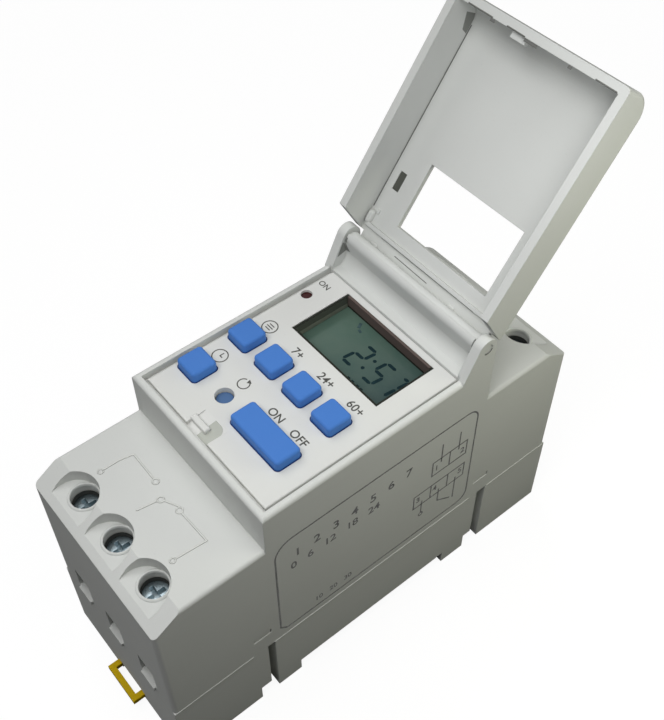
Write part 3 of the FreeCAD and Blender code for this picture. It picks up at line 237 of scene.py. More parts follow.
def winding(name, shade):
    """Layers of fine enamelled wire, seen as bands across the coil."""
    look = Look(name)
    turns = look.wave(1500.0, 0.6, "Z")
    base = look.mix(turns, tinted(shade, 0.45), tinted(shade, 1.2))
    base = look.mix(look.mottle(300.0, 0.4, 0.7, 0.0, 0.3), base, tinted(shade, 0.7))
    return look.surface(Base_Color=base, Roughness=look.ramp(turns, 0.0, 1.0, 0.42, 0.26),
                        Normal=look.bump(turns, 0.02, 0.8), Metallic=0.75)


def striped_rubber(name, shade):
    """Contact strip of alternate conducting and plain layers."""
    look = Look(name)
    base = look.mix(look.ramp(look.wave(900.0, 0.1), 0.35, 0.65), tinted(shade, 0.35), tinted(shade, 2.6))
    return look.surface(Base_Color=base, Roughness=look.mottle(800.0, 0.3, 0.7, 0.6, 0.8),
                        Normal=look.bump(look.noise(4000.0), 0.004))


def lacquer(name, shade, rough=0.22, vary=0.10):
    """Dipped or glossy moulded skin, uneven as it dried."""
    look = Look(name)
    base = look.mix(look.noise(240.0, 3.0), tinted(shade, 1.0 - vary), tinted(shade, 1.0 + vary))
    # Painted shade: darker in corners and holes.
    base = look.shaded_in_crevices(base, tinted(shade, 0.5), 1.0, 0.4)
    polish = look.mottle(600.0, 0.3, 0.7, rough - 0.05, rough + 0.10, detail=3.0)
    normal = look.bump(look.noise(900.0), 0.012, 0.6, look.soft_normal(0.12))
    return look.surface(Base_Color=base, Roughness=polish, Normal=normal, Coat_Weight=0.3, Coat_Roughness=0.12)


def display_cell(name, shade):
    """Liquid crystal cell: grey-green, deeper towards its near right corner, under a glossy polariser."""
    look = Look(name)
    deep, cloud = colour(40, 61, 63), colour(100, 112, 100)
    axes = look.add("ShaderNodeSeparateXYZ", {"Vector": look.object_place})
    slope = look.maths("ADD", look.maths("MULTIPLY", axes.outputs["X"], 26.0),
                       look.maths("MULTIPLY", axes.outputs["Y"], -14.0))
    base = look.mix(look.ramp(slope, -0.45, 0.25), shade, deep)
    base = look.mix(look.mottle(260.0, 0.35, 0.7, 0.0, 0.16, detail=3.0), base, cloud)
    polish = look.mottle(900.0, 0.35, 0.7, 0.14, 0.24, detail=3.0)
    normal = look.bump(look.noise(5200.0, 1.0), 0.002, 0.5)
    return look.surface(Base_Color=base, Roughness=polish, Normal=normal, Specular_IOR_Level=0.2)


def lamp_lens(name, shade):
    """Diffusing red epoxy, dark while the lamp is off."""
    look = Look(name)
    base = look.mix(look.noise(700.0, 3.0), tinted(shade, 0.7), tinted(shade, 1.35))
    normal = look.bump(look.noise(2600.0), 0.003, 0.6, look.soft_normal(0.1))
    return look.surface(Base_Color=base, Roughness=look.mottle(500.0, 0.3, 0.7, 0.18, 0.30),
                        Normal=normal, Transmission_Weight=0.15, Specular_IOR_Level=0.15)


def ink(name, shade, rough=0.5, gloss=0.3):
    """Printed ink: thinner and worn in places."""
    look = Look(name)
    base = look.mix(look.mottle(1500.0, 0.45, 0.80, 0.0, 0.45, detail=3.0), shade, tinted(shade, 2.2))
    return look.surface(Base_Color=base, Roughness=look.mottle(900.0, 0.3, 0.7, rough - 0.1, rough + 0.1),
                        Normal=look.bump(look.noise(3800.0), 0.003), Specular_IOR_Level=gloss)


# Finish, name, display colour and settings: first the slots of the solids, then the scene's own.
# The moulded finishes carry a painted highlight along edges and painted shade in corners, by the amounts in
# their settings.
FINISHES = (
    (moulded, "case_plastic", (208, 210, 207), {}),
    (moulded, "panel_plastic", (213, 214, 211), {"rough": 0.38, "grain": 0.004}),
    (moulded, "key_plastic", (72, 122, 196), {"rough": 0.40, "vary": 0.05, "grain": 0.005, "edge_highlight": 0.22,
                                              "crease_shade": 0.35, "gloss": 0.08}),
    (display_cell, "display_glass", (82, 106, 94), {}),
    (moulded, "black_plastic", (48, 50, 45), {"rough": 0.5}),
    (striped_rubber, "contact_rubber", (74, 74, 78), {}),
    (lamp_lens, "lamp_red", (58, 14, 14), {}),
    (laminate, "board_laminate", (38, 104, 58), {}),
    (metal, "zinc_steel", (154, 168, 174), {"rough": 0.32, "along": (1.0, 1.0, 1.0)}),
    (metal, "contact_brass", (214, 186, 128), {"rough": 0.30, "along": (1.0, 0.06, 1.0)}),
    (moulded, "clip_plastic", (204, 172, 28), {"rough": 0.46, "vary": 0.08, "crease_shade": 0.5}),
    (metal, "spring_steel", (150, 150, 154), {"rough": 0.28, "along": (0.2, 1.0, 0.2)}),
    (lacquer, "relay_case", (44, 88, 150), {}),
    (winding, "winding_copper", (200, 122, 72), {}),
    (metal, "soft_iron", (176, 178, 182), {"rough": 0.30, "along": (0.1, 1.0, 1.0)}),
    (lacquer, "film_box", (212, 176, 60), {"rough": 0.28}),
    (lacquer, "can_sleeve", (44, 47, 58), {"rough": 0.26}),
    (lacquer, "varistor_epoxy", (52, 112, 176), {"rough": 0.30, "vary": 0.14}),
    (lacquer, "resistor_lacquer", (206, 184, 146), {"rough": 0.30}),
    (moulded, "chip_plastic", (40, 40, 42), {"rough": 0.55, "edge_highlight": 0.12}),
    (metal, "cell_steel", (188, 189, 192), {"rough": 0.24, "along": (1.0, 0.1, 1.0)}),
    (ink, "legend_ink", (70, 70, 66), {}),
    (ink, "side_ink", (44, 44, 42), {}),
    (ink, "crystal_dark", (24, 42, 46), {"rough": 0.4, "gloss": 0.02}),
    (ink, "crystal_ghost", (58, 76, 78), {"rough": 0.4, "gloss": 0.02}),
    # Painted shade in the clearance round each key.
    (ink, "gap_blue", (40, 56, 104), {"rough": 0.6, "gloss": 0.0}),
    (moulded, "filter_edge", (96, 85, 81), {"rough": 0.34, "vary": 0.22}),
    (moulded, "olive_edge", (116, 121, 109), {"rough": 0.40, "vary": 0.12}),
    # A darker copy of olive_edge: painted shade on the upper part of the window's left wall.
    (moulded, "olive_deep", (86, 91, 82), {"rough": 0.40, "vary": 0.12}),
    # The next three are painted shade in hollows, openings and corners.
    (hollow, "hollow_dark", (66, 68, 66), {"vary": 0.10}),
    (hollow, "hollow_grey", (112, 113, 110), {"vary": 0.10}),
    (hollow, "hollow_mid", (136, 138, 134), {"vary": 0.08}),
    (hollow, "smoked", (88, 90, 84), {"vary": 0.08, "rough": 0.5}),
    # Painted shade in the lid's seam.
    (hollow, "seam_grey", (158, 160, 157), {"vary": 0.06}),
    # Painted shade on the floor of the latch's scoop.
    (hollow, "scoop_grey", (180, 183, 175), {"vary": 0.05}),
    # A lighter copy of the case's plastic: painted highlight on the raised lines.
    (moulded, "relief_pale", (218, 220, 215), {"edge_highlight": 0.05, "crease_shade": 0.0, "soften": 0.05}),
    # A darker copy of the keys' blue: painted shade on the reset key, deep in its hole.
    (moulded, "reset_blue", (82, 110, 150), {"rough": 0.45, "vary": 0.06, "crease_shade": 0.5}),
)
looks = {name: finish(name, colour(*shade), **settings) for finish, name, shade, settings in FINISHES}

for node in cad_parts.values():
    for slot in node.material_slots:
        slot.material = looks[slot.material.name]
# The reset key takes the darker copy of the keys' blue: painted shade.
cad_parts["key_reset"].material_slots[0].material = looks["reset_blue"]


# Drawing planes.

def lay(origin, across, up):
    """Matrix that lays a drawing in millimetres on a surface; the origin's height is from the feet."""
    right, top = Vector(across).normalized(), Vector(up).normalized()
    matrix = Matrix((right, top, right.cross(top))).transposed().to_4x4() @ Matrix.Scale(MM, 4)
    matrix.translation = (Vector(origin) + Vector((0.0, 0.0, FEET))) * MM
    return matrix


def level(height):
    """Level drawing plane: x across the case and y along it."""
    return lay((0.0, 0.0, height), (1, 0, 0), (0, 1, 0))


def across_case(x):
    """Drawing plane square to the width, at x: its own x is the part's y and its y is the height."""
    return lay((x, 0.0, 0.0), (0, 1, 0), (0, 0, 1))


HINGE = Vector((0.0, HINGE_Y, HINGE_Z))
ALONG_LID = Vector((0.0, -math.cos(LID_OPEN), math.sin(LID_OPEN)))
OFF_LID = Vector((0.0, -math.sin(LID_OPEN), -math.cos(LID_OPEN)))


def on_lid(height):
    """Drawing plane at a height over the open lid's inner face: x across, y from the hinge to the free end."""
    return lay(HINGE + OFF_LID * (height - LID_FACE), (1, 0, 0), ALONG_LID)


ON_PANEL = level(PANEL_TOP)
ON_GLASS = level(GLASS_TOP)
ON_SHOULDER = level(SHOULDER_TOP)
ON_RECESS = level(RECESS_FLOOR)
IN_MIDDLE = across_case(0.0)
ON_RIGHT_SIDE = across_case(SIDE_FACE)
ON_LEFT_SIDE = lay((-SIDE_FACE, 0.0, 0.0), (0, -1, 0), (0, 0, 1))
# Each long side's name and plane, and which way the plane's own x runs along the part's y.
SIDES = (("right", ON_RIGHT_SIDE, 1), ("left", ON_LEFT_SIDE, -1))
# Signs of x for what stands at both ends of the hinge.
BOTH_ENDS = (-1, 1)


# Drawing in the plane.

def shifted(points, centre):
    return [(centre[0] + x, centre[1] + y) for x, y in points]


def rectangle(left, right, low, high):
    return [(left, low), (right, low), (right, high), (left, high)]


def arc(centre, radius, start, end, steps=24):
    """Points along an arc, angles in degrees."""
    turns = [math.radians(start + (end - start) * i / steps) for i in range(steps + 1)]
    return [(centre[0] + radius * math.cos(t), centre[1] + radius * math.sin(t)) for t in turns]


def stroke(mesh, points, width, closed=False):
    """A line of constant width through the points, with mitred corners."""
    mitre_limit = 0.4
    points = [Vector(p) for p in points]
    count = len(points)
    sides = []
    for i, point in enumerate(points):
        before = point - points[i - 1] if closed or i else None
        after = points[(i + 1) % count] - point if closed or i < count - 1 else None
        first = (before or after).normalized()
        second = (after or before).normalized()
        along = (first + second).normalized()
        across = Vector((-along.y, along.x))
        reach = width / 2.0 / max(mitre_limit, across.dot(Vector((-first.y, first.x))))
        sides.append((mesh.verts.new((*(point + across * reach), 0.0)),
                      mesh.verts.new((*(point - across * reach), 0.0))))
    for i in range(count if closed else count - 1):
        (a, b), (c, d) = sides[i], sides[(i + 1) % count]
        mesh.faces.new((b, d, c, a))


def blob(mesh, points):
    mesh.faces.new([mesh.verts.new((*p, 0.0)) for p in points])


def disc(mesh, centre, radius):
    blob(mesh, arc(centre, radius, 0.0, 360.0)[:-1])


def ring(mesh, centre, radius, width):
    stroke(mesh, arc(centre, radius, 0.0, 360.0, 32)[:-1], width, closed=True)


def prism(mesh, points, low, high):
    """A closed bar with the drawn outline, from one height to the other."""
    rows = [[mesh.verts.new((x, y, z)) for x, y in points] for z in (low, high)]
    mesh.faces.new(reversed(rows[0]))
    mesh.faces.new(rows[1])
    for i in range(len(points)):
        j = (i + 1) % len(points)
        mesh.faces.new((rows[0][i], rows[0][j], rows[1][j], rows[1][i]))


def pillow(mesh, centre, half_x, half_y, height, power=3.2):
    """A low pad with a rounded rim, sunk a little into what carries it; power squares its outline."""
    sink, steps, levels = 0.1, 36, 5
    rows = []
    for tier in range(-1, levels + 1):
        turn = math.pi / 2.0 * max(0, tier) / levels
        inset = min(height, half_x * 0.9, half_y * 0.9) * (1.0 - math.cos(turn))
        z = -sink if tier < 0 else height * math.sin(turn)
        row = []
        for step in range(steps):
            angle = 2.0 * math.pi * step / steps
            c, d = math.cos(angle), math.sin(angle)
            x = math.copysign(abs(c) ** (2.0 / power), c) * (half_x - inset)
            y = math.copysign(abs(d) ** (2.0 / power), d) * (half_y - inset)
            row.append(mesh.verts.new((centre[0] + x, centre[1] + y, z)))
        rows.append(row)
    for lower, upper in zip(rows, rows[1:]):
        for i in range(steps):
            j = (i + 1) % steps
            mesh.faces.new((lower[i], lower[j], upper[j], upper[i]))
    mesh.faces.new(reversed(rows[0]))
    mesh.faces.new(rows[-1])


def turn_outward(mesh):
    bmesh.ops.recalc_face_normals(mesh, faces=mesh.faces[:])


def collar(mesh, centre, profile):
    """A ring turned from a closed profile of radius and height."""
    steps = 48
    rows = []
    for step in range(steps):
        angle = 2.0 * math.pi * step / steps
        rows.append([mesh.verts.new((centre[0] + r * math.cos(angle), centre[1] + r * math.sin(angle), z))
                     for r, z in profile])
    for i in range(steps):
        first, second = rows[i], rows[(i + 1) % steps]
        for k in range(len(profile)):
            m = (k + 1) % len(profile)
            mesh.faces.new((first[k], second[k], second[m], first[m]))
    turn_outward(mesh)


def thicken(mesh, height):
    """Turns the flat drawing into closed solids of that height."""
    extruded = bmesh.ops.extrude_face_region(mesh, geom=mesh.faces[:])
    lifted = [g for g in extruded["geom"] if isinstance(g, bmesh.types.BMVert)]
    bmesh.ops.translate(mesh, verts=lifted, vec=(0.0, 0.0, height))
    turn_outward(mesh)


def lettering(mesh, text, centre, height):
    """Adds generic characters of the given height, centred, as closed solids of the ink's thickness."""
    curve = bpy.data.curves.new("characters", type="FONT")
    curve.body = text
    curve.extrude = 0.5
    curve.offset = 0.014
    source = bpy.data.objects.new("characters", curve)
    bpy.context.scene.collection.objects.link(source)
    bpy.context.view_layer.update()
    data = bpy.data.meshes.new_from_object(source.evaluated_get(bpy.context.evaluated_depsgraph_get()))
    bpy.data.objects.remove(source)
    bpy.data.curves.remove(curve)
    part = bmesh.new()
    part.from_mesh(data)
    bpy.data.meshes.remove(data)
    bmesh.ops.remove_doubles(part, verts=part.verts[:], dist=1e-5)
    low = [min(v.co[axis] for v in part.verts) for axis in (0, 1)]
    high = [max(v.co[axis] for v in part.verts) for axis in (0, 1)]
    scale = height / (high[1] - low[1])
    for vert in part.verts:
        x = (vert.co.x - (low[0] + high[0]) / 2.0) * scale
        y = (vert.co.y - (low[1] + high[1]) / 2.0) * scale
        vert.co = (centre[0] + x, centre[1] + y, (vert.co.z + 0.5) * INK_THICKNESS)
    data = bpy.data.meshes.new("characters")
    part.to_mesh(data)
    part.free()
    mesh.from_mesh(data)
    bpy.data.meshes.remove(data)


def piece(name, mesh, matrix, look, body="case", smooth=False):
    """Makes one named object of the mesh, which is in millimetres, and lets it ride on a body."""
    data = bpy.data.meshes.new(name)
    mesh.transform(matrix)
    mesh.to_mesh(data)
    mesh.free()
    data.materials.append(looks[look])
    if smooth:
        data.shade_smooth()
        data.set_sharp_from_angle(angle=math.radians(50.0))
    item = bpy.data.objects.new(name, data)
    bpy.context.scene.collection.objects.link(item)
    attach(item, body)
    return item


def flat_piece(name, mesh, matrix, look, body="case"):
    """A piece from a flat drawing, as thick as ink."""
    thicken(mesh, INK_THICKNESS)
    piece(name, mesh, matrix, look, body)


# The panel's legends, painted shade in the clearance round each key, and painted shade on the floor of the
# latch's scoop.

LEGEND_LINE = 0.20
KEY_PITCH = 7.5
legends = bmesh.new()

clock = (-12.7, -9.5)
ring(legends, clock, 1.38, LEGEND_LINE)
stroke(legends, shifted([(0.0, 0.85), (0.0, 0.0), (0.62, 0.0)], clock), LEGEND_LINE)

program = (-12.6, 0.85)
ring(legends, program, 1.4, LEGEND_LINE)
for up, reach in ((0.5, 0.6), (0.0, 0.75), (-0.5, 0.6)):
    stroke(legends, shifted([(-reach, up), (reach, up)], program), LEGEND_LINE)

restart = (-5.3, -10.0)
around = arc(restart, 1.05, 60.0, -250.0)
stroke(legends, around, LEGEND_LINE)
blob(legends, shifted([(-0.55, 0.42), (0.3, 0.1), (-0.35, -0.45)], around[0]))
thicken(legends, INK_THICKNESS)

for count, text in enumerate(("7+", "24+", "60+")):
    lettering(legends, text, (-4.85 + KEY_PITCH * count, 0.95), 1.6)
for text, place, height in (("ON", (3.2, -9.75), 1.55), ("OFF", (9.1, -9.75), 1.55),
                            ("ON", (-14.4, 14.3), 1.15)):
    lettering(legends, text, place, height)
piece("panel_legends", legends, ON_PANEL, "legend_ink")

# A key's box takes in the flange under the panel; the painted line of the gap's shade runs GAP_OFFSET outside
# the cap.
KEY_FLANGE = 0.35
GAP_OFFSET = 0.13
GAP_TURN = 0.8
GAP_SHADOW_WIDTH = 0.17
gap_shadows = bmesh.new()
for key in ("clock", "program", "day", "hour", "minute", "manual"):
    low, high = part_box("key_" + key)
    left, near = (low[i] / MM + KEY_FLANGE - GAP_OFFSET + GAP_TURN for i in (0, 1))
    right, far = (high[i] / MM - KEY_FLANGE + GAP_OFFSET - GAP_TURN for i in (0, 1))
    corners = ((right, far), (left, far), (left, near), (right, near))
    outline = [point for i, corner in enumerate(corners)
               for point in arc(corner, GAP_TURN, 90.0 * i, 90.0 * (i + 1), 5)]
    stroke(gap_shadows, outline, GAP_SHADOW_WIDTH, closed=True)
flat_piece("key_gap_shade", gap_shadows, ON_PANEL, "gap_blue")

# The scoop's floor meets the panel's level at SCOOP_TOP_Y, and lies SCOOP_RISE lower for each millimetre nearer.
SCOOP_TOP_Y = -17.60
SCOOP_RISE = 0.175
SCOOP_OUTLINE = [(0.85, -21.6)] + arc((-0.65, -19.3), 1.5, 0.0, 90.0, 6) + [(-2.02, -17.8), (-2.02, -21.6)]
SCOOP_SLOPE = Matrix(((1, 0, 0, 0), (0, 1, 0, 0), (0, SCOOP_RISE, 1, -SCOOP_RISE * SCOOP_TOP_Y), (0, 0, 0, 1)))
# A thin sheet on that floor, in a darker grey: painted shade.
scoop = bmesh.new()
prism(scoop, SCOOP_OUTLINE, 0.0, INK_THICKNESS)
scoop.transform(SCOOP_SLOPE)
piece("scoop_floor_shade", scoop, ON_PANEL, "scoop_grey")


# The wiring diagram raised on the near shoulder.

RIDGE = 0.32
RELIEF_HEIGHT = 0.05
RELIEF_ROUNDING = 0.05
relief = bmesh.new()
for points in ([(-10.9, -34.8), (-10.9, -31.7), (-10.4, -29.3), (-4.2, -29.4)],
               [(-0.35, -31.3), (-0.9, -34.8)],
               [(0.3, -30.4), (3.0, -29.0)],
               [(4.0, -29.5), (10.6, -29.3), (10.2, -34.8)]):
    stroke(relief, points, RIDGE)
for centre in ((-3.6, -29.4), (-0.2, -30.7), (3.4, -29.5)):
    ring(relief, centre, 0.55, 0.28)
for centre in ((-10.9, -35.3), (10.2, -35.3)):
    ring(relief, centre, 0.45, 0.26)
thicken(relief, RELIEF_HEIGHT)
top_edges = [e for e in relief.edges if min(v.co.z for v in e.verts) > 0.9 * RELIEF_HEIGHT
             and any(abs(f.normal.z) < 0.5 for f in e.link_faces)]
bmesh.ops.bevel(relief, geom=top_edges, offset=RELIEF_ROUNDING, segments=2, affect="EDGES", clamp_overlap=True)
# The raised lines take a lighter plastic than the case: painted highlight.
piece("shoulder_relief", relief, ON_SHOULDER, "relief_pale")


# The side label: a frame with one cut corner and three round ones, terminal boxes, leads and numbers.

FRAME_LINE = 0.34
SIDE_LINE = 0.30
near, far, low, high = -21.9, 22.2, 20.1, 48.0
cut, far_low_turn, far_high_turn, near_high_turn = 1.4, 2.4, 2.6, 3.6
label = bmesh.new()
outline = ([(near, low + cut), (near + cut, low)]
           + arc((far - far_low_turn, low + far_low_turn), far_low_turn, -90.0, 0.0, 8)
           + arc((far - far_high_turn, high - far_high_turn), far_high_turn, 0.0, 90.0, 8)
           + arc((near + near_high_turn, high - near_high_turn), near_high_turn, 90.0, 180.0, 8))
stroke(label, outline, FRAME_LINE, closed=True)

for left, right, low, high, count in ((12.2, 20.4, 36.1, 40.1, 2), (8.3, 20.5, 29.2, 33.0, 3)):
    stroke(label, rectangle(left, right, low, high), SIDE_LINE, closed=True)
    for i in range(1, count):
        wall = left + (right - left) / count * i
        stroke(label, [(wall, low), (wall, high)], SIDE_LINE)
for points in ([(14.2, 38.9), (14.2, 44.1)],
               [(18.4, 38.9), (18.4, 44.1)],
               [(10.3, 30.2), (10.3, 26.4)],
               [(14.4, 30.2), (14.4, 26.4), (17.7, 24.2)],
               [(18.5, 30.2), (18.5, 23.6)]):
    stroke(label, points, SIDE_LINE)
ring(label, (10.3, 25.9), 0.45, SIDE_LINE)
thicken(label, INK_THICKNESS)

for text, place, height in (("1", (13.2, 37.9), 1.5), ("2", (19.4, 37.9), 1.5), ("3", (9.3, 31.4), 1.5),
                            ("4", (13.3, 31.4), 1.5), ("5", (19.5, 31.4), 1.5),
                            ("1   2   3   4   5   6   7", (-5.2, 42.7), 2.2),
                            ("0   6   12   18   24", (-9.5, 39.4), 1.9), ("10   20   30", (-10.0, 22.6), 1.3)):
    lettering(label, text, place, height)
piece("side_label", label, ON_RIGHT_SIDE, "side_ink")


# The display's figures and the linings of its window; the upper part of the left lining is a darker copy, in
# painted shade.

SEGMENT = 0.62
SEGMENT_GAP = 0.10
FIGURE_W = 2.25
NARROW_W = 1.35
FIGURE_H = 5.2
FIGURE_Y = 7.45
LEAN = 0.12


def segment_ends(number, w):
    """Ends of a seven-segment figure's bars, bottom left at the origin."""
    h = FIGURE_H
    bars = {"a": ((0, h), (w, h)), "b": ((w, h), (w, h / 2)), "c": ((w, h / 2), (w, 0)), "d": ((0, 0), (w, 0)),
            "e": ((0, h / 2), (0, 0)), "f": ((0, h), (0, h / 2)), "g": ((0, h / 2), (w, h / 2))}
    return [bars[key] for key in {2: "abged", 5: "afgcd", 7: "abc"}[number]]


def figure(mesh, number, left, reach):
    for start, end in segment_ends(number, reach):
        a, b = Vector(start), Vector(end)
        along = (b - a).normalized()
        across = Vector((-along.y, along.x)) * SEGMENT / 2.0
        a, b = a + along * SEGMENT_GAP, b - along * SEGMENT_GAP
        inset = along * SEGMENT / 2
        shape = [a, a + inset + across, b - inset + across, b, b - inset - across, a + inset - across]
        blob(mesh, [(left + p.x + LEAN * p.y, FIGURE_Y + p.y) for p in shape])


figures = bmesh.new()
for number, left, reach in ((2, -1.1, FIGURE_W), (5, 4.05, FIGURE_W), (7, 8.15, NARROW_W)):
    figure(figures, number, left, reach)
for centre in ((2.72, 8.75), (2.95, 11.25)):
    disc(figures, centre, 0.34)
for left in (2.6, 3.6, 4.9, 5.8):
    blob(figures, rectangle(left, left + 0.6, 4.4, 5.75))
flat_piece("display_figures", figures, ON_GLASS, "crystal_dark")

ghosts = bmesh.new()
stroke(ghosts, [(-5.2, 15.1), (-4.6, 14.0)], 0.6)
stroke(ghosts, [(-4.3, 13.8), (-3.5, 13.6)], 0.5)
flat_piece("display_ghosts", ghosts, ON_GLASS, "crystal_ghost")

# Each lining's outline, square to the width, and where it starts and ends across the width.
FAR_LINING = [(15.79, 55.05), (15.87, 55.05), (15.87, 57.06), (16.28, 57.06), (16.28, 57.10), (15.79, 57.10)]
for name, look, outline, left, right in (
        ("window_lining_far", "filter_edge", FAR_LINING, -9.72, 11.42),
        ("window_lining_left", "olive_edge", rectangle(4.25, 15.78, 54.53, 55.45), -9.80, -9.70),
        # The upper lining on the left wall is a darker copy of the lower one: painted shade.
        ("window_lining_shade", "olive_deep", rectangle(4.25, 15.78, 55.45, 56.95), -9.80, -9.74)):
    lining = bmesh.new()
    prism(lining, outline, left, right)
    piece(name, lining, IN_MIDDLE, look)


# The crest in front of the hinge's barrel, and painted shade at the hinge's ears and pins: a pocket, a wedge and
# a gap line at each ear, and a shadow line beside each pin.
# Outlines square to the width are pairs of the part's y and the height.

CREST_HALF = 15.95
CREST_FOOT = [(20.52, 62.4), (20.64, 61.6), (20.74, 60.8), (20.82, 60.2), (20.95, 60.2), (20.95, 61.4)]
hinge_centre = (HINGE_Y, HINGE_Z)
crest = bmesh.new()
prism(crest, arc(hinge_centre, 1.55, 122.0, 180.0, 10) + CREST_FOOT + arc(hinge_centre, 1.30, 180.0, 122.0, 10),
      -CREST_HALF, CREST_HALF)
turn_outward(crest)
piece("hinge_crest", crest, IN_MIDDLE, "case_plastic", smooth=True)

POCKET_SHADOW = [(20.30, 62.6), (20.66, 61.2), (20.70, 60.6), (18.72, 60.04), (19.93, 62.81)]
pocket_shadows = bmesh.new()
for end in BOTH_ENDS:
    prism(pocket_shadows, POCKET_SHADOW, *sorted((16.17 * end, 16.23 * end)))
turn_outward(pocket_shadows)
piece("ear_pocket_shade", pocket_shadows, IN_MIDDLE, "hollow_mid")

BEFORE_EARS = lay((0.0, 20.70, 60.8), (1, 0, 0), (0, -0.12, 1))
wedge_shadows = bmesh.new()
for end in BOTH_ENDS:
    blob(wedge_shadows, [(16.18 * end, 1.75), (15.10 * end, 0.14), (16.18 * end, -0.15)][::-end])
flat_piece("ear_wedge_shade", wedge_shadows, BEFORE_EARS, "hollow_mid")

arc_shadows = bmesh.new()
for end, reach, start in ((-1, 15.62, 150.0), (1, 15.74, 124.0)):
    prism(arc_shadows, arc(hinge_centre, 1.59, start, 188.0, 10) + arc(hinge_centre, 1.50, 188.0, start, 10),
          *sorted((reach * end, 15.97 * end)))
turn_outward(arc_shadows)
piece("ear_gap_shade", arc_shadows, IN_MIDDLE, "hollow_mid", smooth=True)

for side, plane, sign in SIDES:
    shadow_line = bmesh.new()
    stroke(shadow_line, [(sign * y, z) for y, z in arc(hinge_centre, 1.0, -125.0, -20.0, 12)], 0.24)
    flat_piece(f"pin_shadow_{side}", shadow_line, plane, "hollow_dark")


# The rims of the terminal holes, a dark band of painted shade low in each hole, and the beads along the parting
# line.

RIM_PROFILE = [(2.40, -0.5), (2.38, 0.14), (2.46, 0.26), (2.60, 0.28), (2.90, 0.02), (2.90, -0.2), (2.66, -0.2),
               (2.66, -0.5)]
HOLE_SHADOW_PROFILE = [(2.28, -2.74), (2.36, -1.75), (2.41, -1.75), (2.41, -2.74)]
screw_centres = []
for number in range(1, 6):
    low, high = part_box(f"terminal_screw_{number}")
    screw_centres.append(((low[0] + high[0]) / 2.0 / MM, (low[1] + high[1]) / 2.0 / MM))
for name, look, profile in (("terminal_rims", "case_plastic", RIM_PROFILE),
                            ("terminal_hole_shade", "hollow_dark", HOLE_SHADOW_PROFILE)):
    turned = bmesh.new()
    for centre in screw_centres:
        collar(turned, centre, profile)
    piece(name, turned, ON_RECESS, look, smooth=True)

for side, plane, sign in SIDES:
    bead = bmesh.new()
    for start, end in ((-44.1, -28.0), (-23.5, 23.6), (28.2, 44.1)):
        pillow(bead, (sign * (start + end) / 2.0, PARTING), (end - start) / 2.0, 0.19, 0.11, power=8.0)
    piece(f"seam_bead_{side}", bead, plane, "case_plastic", smooth=True)


# The lid's small forms: pads on its hinge web and the lens of its lamp hole, and painted shade in a slit
# and a seam on its hinge web, in lines beside its walls, in the catch slots and in a corner's hollow at its free
# end.

pads = bmesh.new()
for x, half in ((-12.3, 0.85), (7.3, 0.75)):
    pillow(pads, (x, 0.80), half, 0.55, 0.30)
for end in BOTH_ENDS:
    pillow(pads, (15.75 * end, 4.6), 0.72, 1.35, 0.95)
    pillow(pads, (14.8 * end, 6.05), 0.35, 0.45, 0.40)
piece("lid_pads", pads, on_lid(0.0), "case_plastic", "lid", smooth=True)

slit_shadows = bmesh.new()
stroke(slit_shadows, [(-7.4, 1.60), (0.9, 1.45)], 0.14)
for end in BOTH_ENDS:
    stroke(slit_shadows, [(16.38 * end, 6.4), (16.38 * end, 40.6)], 0.20)
flat_piece("lid_slit_shade", slit_shadows, on_lid(0.0), "hollow_grey", "lid")

seam = bmesh.new()
stroke(seam, [(-11.6, 2.75), (11.3, 2.75)], 0.20)
flat_piece("lid_seam_shade", seam, on_lid(0.0), "seam_grey", "lid")

lens = bmesh.new()
prism(lens, rectangle(-14.73, -13.27, 10.87, 14.33), -0.75, -0.12)
piece("lid_lamp_lens", lens, on_lid(0.0), "smoked", "lid")

catch_shadows = bmesh.new()
for start, end in ((-14.0, -8.6), (-5.6, -1.8), (12.2, 16.3)):
    stroke(catch_shadows, [(start, 43.72), (end, 43.68)], 0.24)
for start, end in ((-8.9, -7.9), (-1.7, 0.9), (7.2, 7.9)):
    blob(catch_shadows, rectangle(start, end, 43.05, 43.55))
flat_piece("lid_catch_shade", catch_shadows, on_lid(LID_RIM + LID_FACE), "hollow_grey", "lid")

ON_LEFT_WALL = lay(HINGE + Vector((-LID_INNER, 0.0, 0.0)) - OFF_LID * LID_FACE, ALONG_LID, OFF_LID)
corner = bmesh.new()
prism(corner, [(39.0, 0.15), (39.4, 1.55), (42.2, 2.8), (42.5, 0.5), (41.6, 0.12)], 0.0, INK_THICKNESS)
piece("lid_corner_shade", corner, ON_LEFT_WALL, "hollow_mid", "lid")


# The rail clip's spring, in place of the hidden solid one. On the real clip it shortens as the clip is pulled;
# here it keeps one length.

SPRING_NEAR, SPRING_FAR = -39.62, -30.68
SPRING_TURNS = 6
SPRING_RADIUS, WIRE_RADIUS = 1.08, 0.20
END_CLOSING = 0.075
STEPS_IN_TURN, WIRE_SIDES = 28, 10
low, high = (Vector(corner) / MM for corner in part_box("clip_spring"))
spring_axis = (low + high) / 2.0


def coil_point(turn):
    """The wire's middle, with the last turn at each end lying closer than the rest."""
    share = turn / SPRING_TURNS
    along = share - END_CLOSING * math.sin(2.0 * math.pi * share)
    angle = 2.0 * math.pi * turn
    return Vector((spring_axis.x + SPRING_RADIUS * math.cos(angle),
                   SPRING_NEAR + (SPRING_FAR - SPRING_NEAR) * along,
                   spring_axis.z + SPRING_RADIUS * math.sin(angle)))


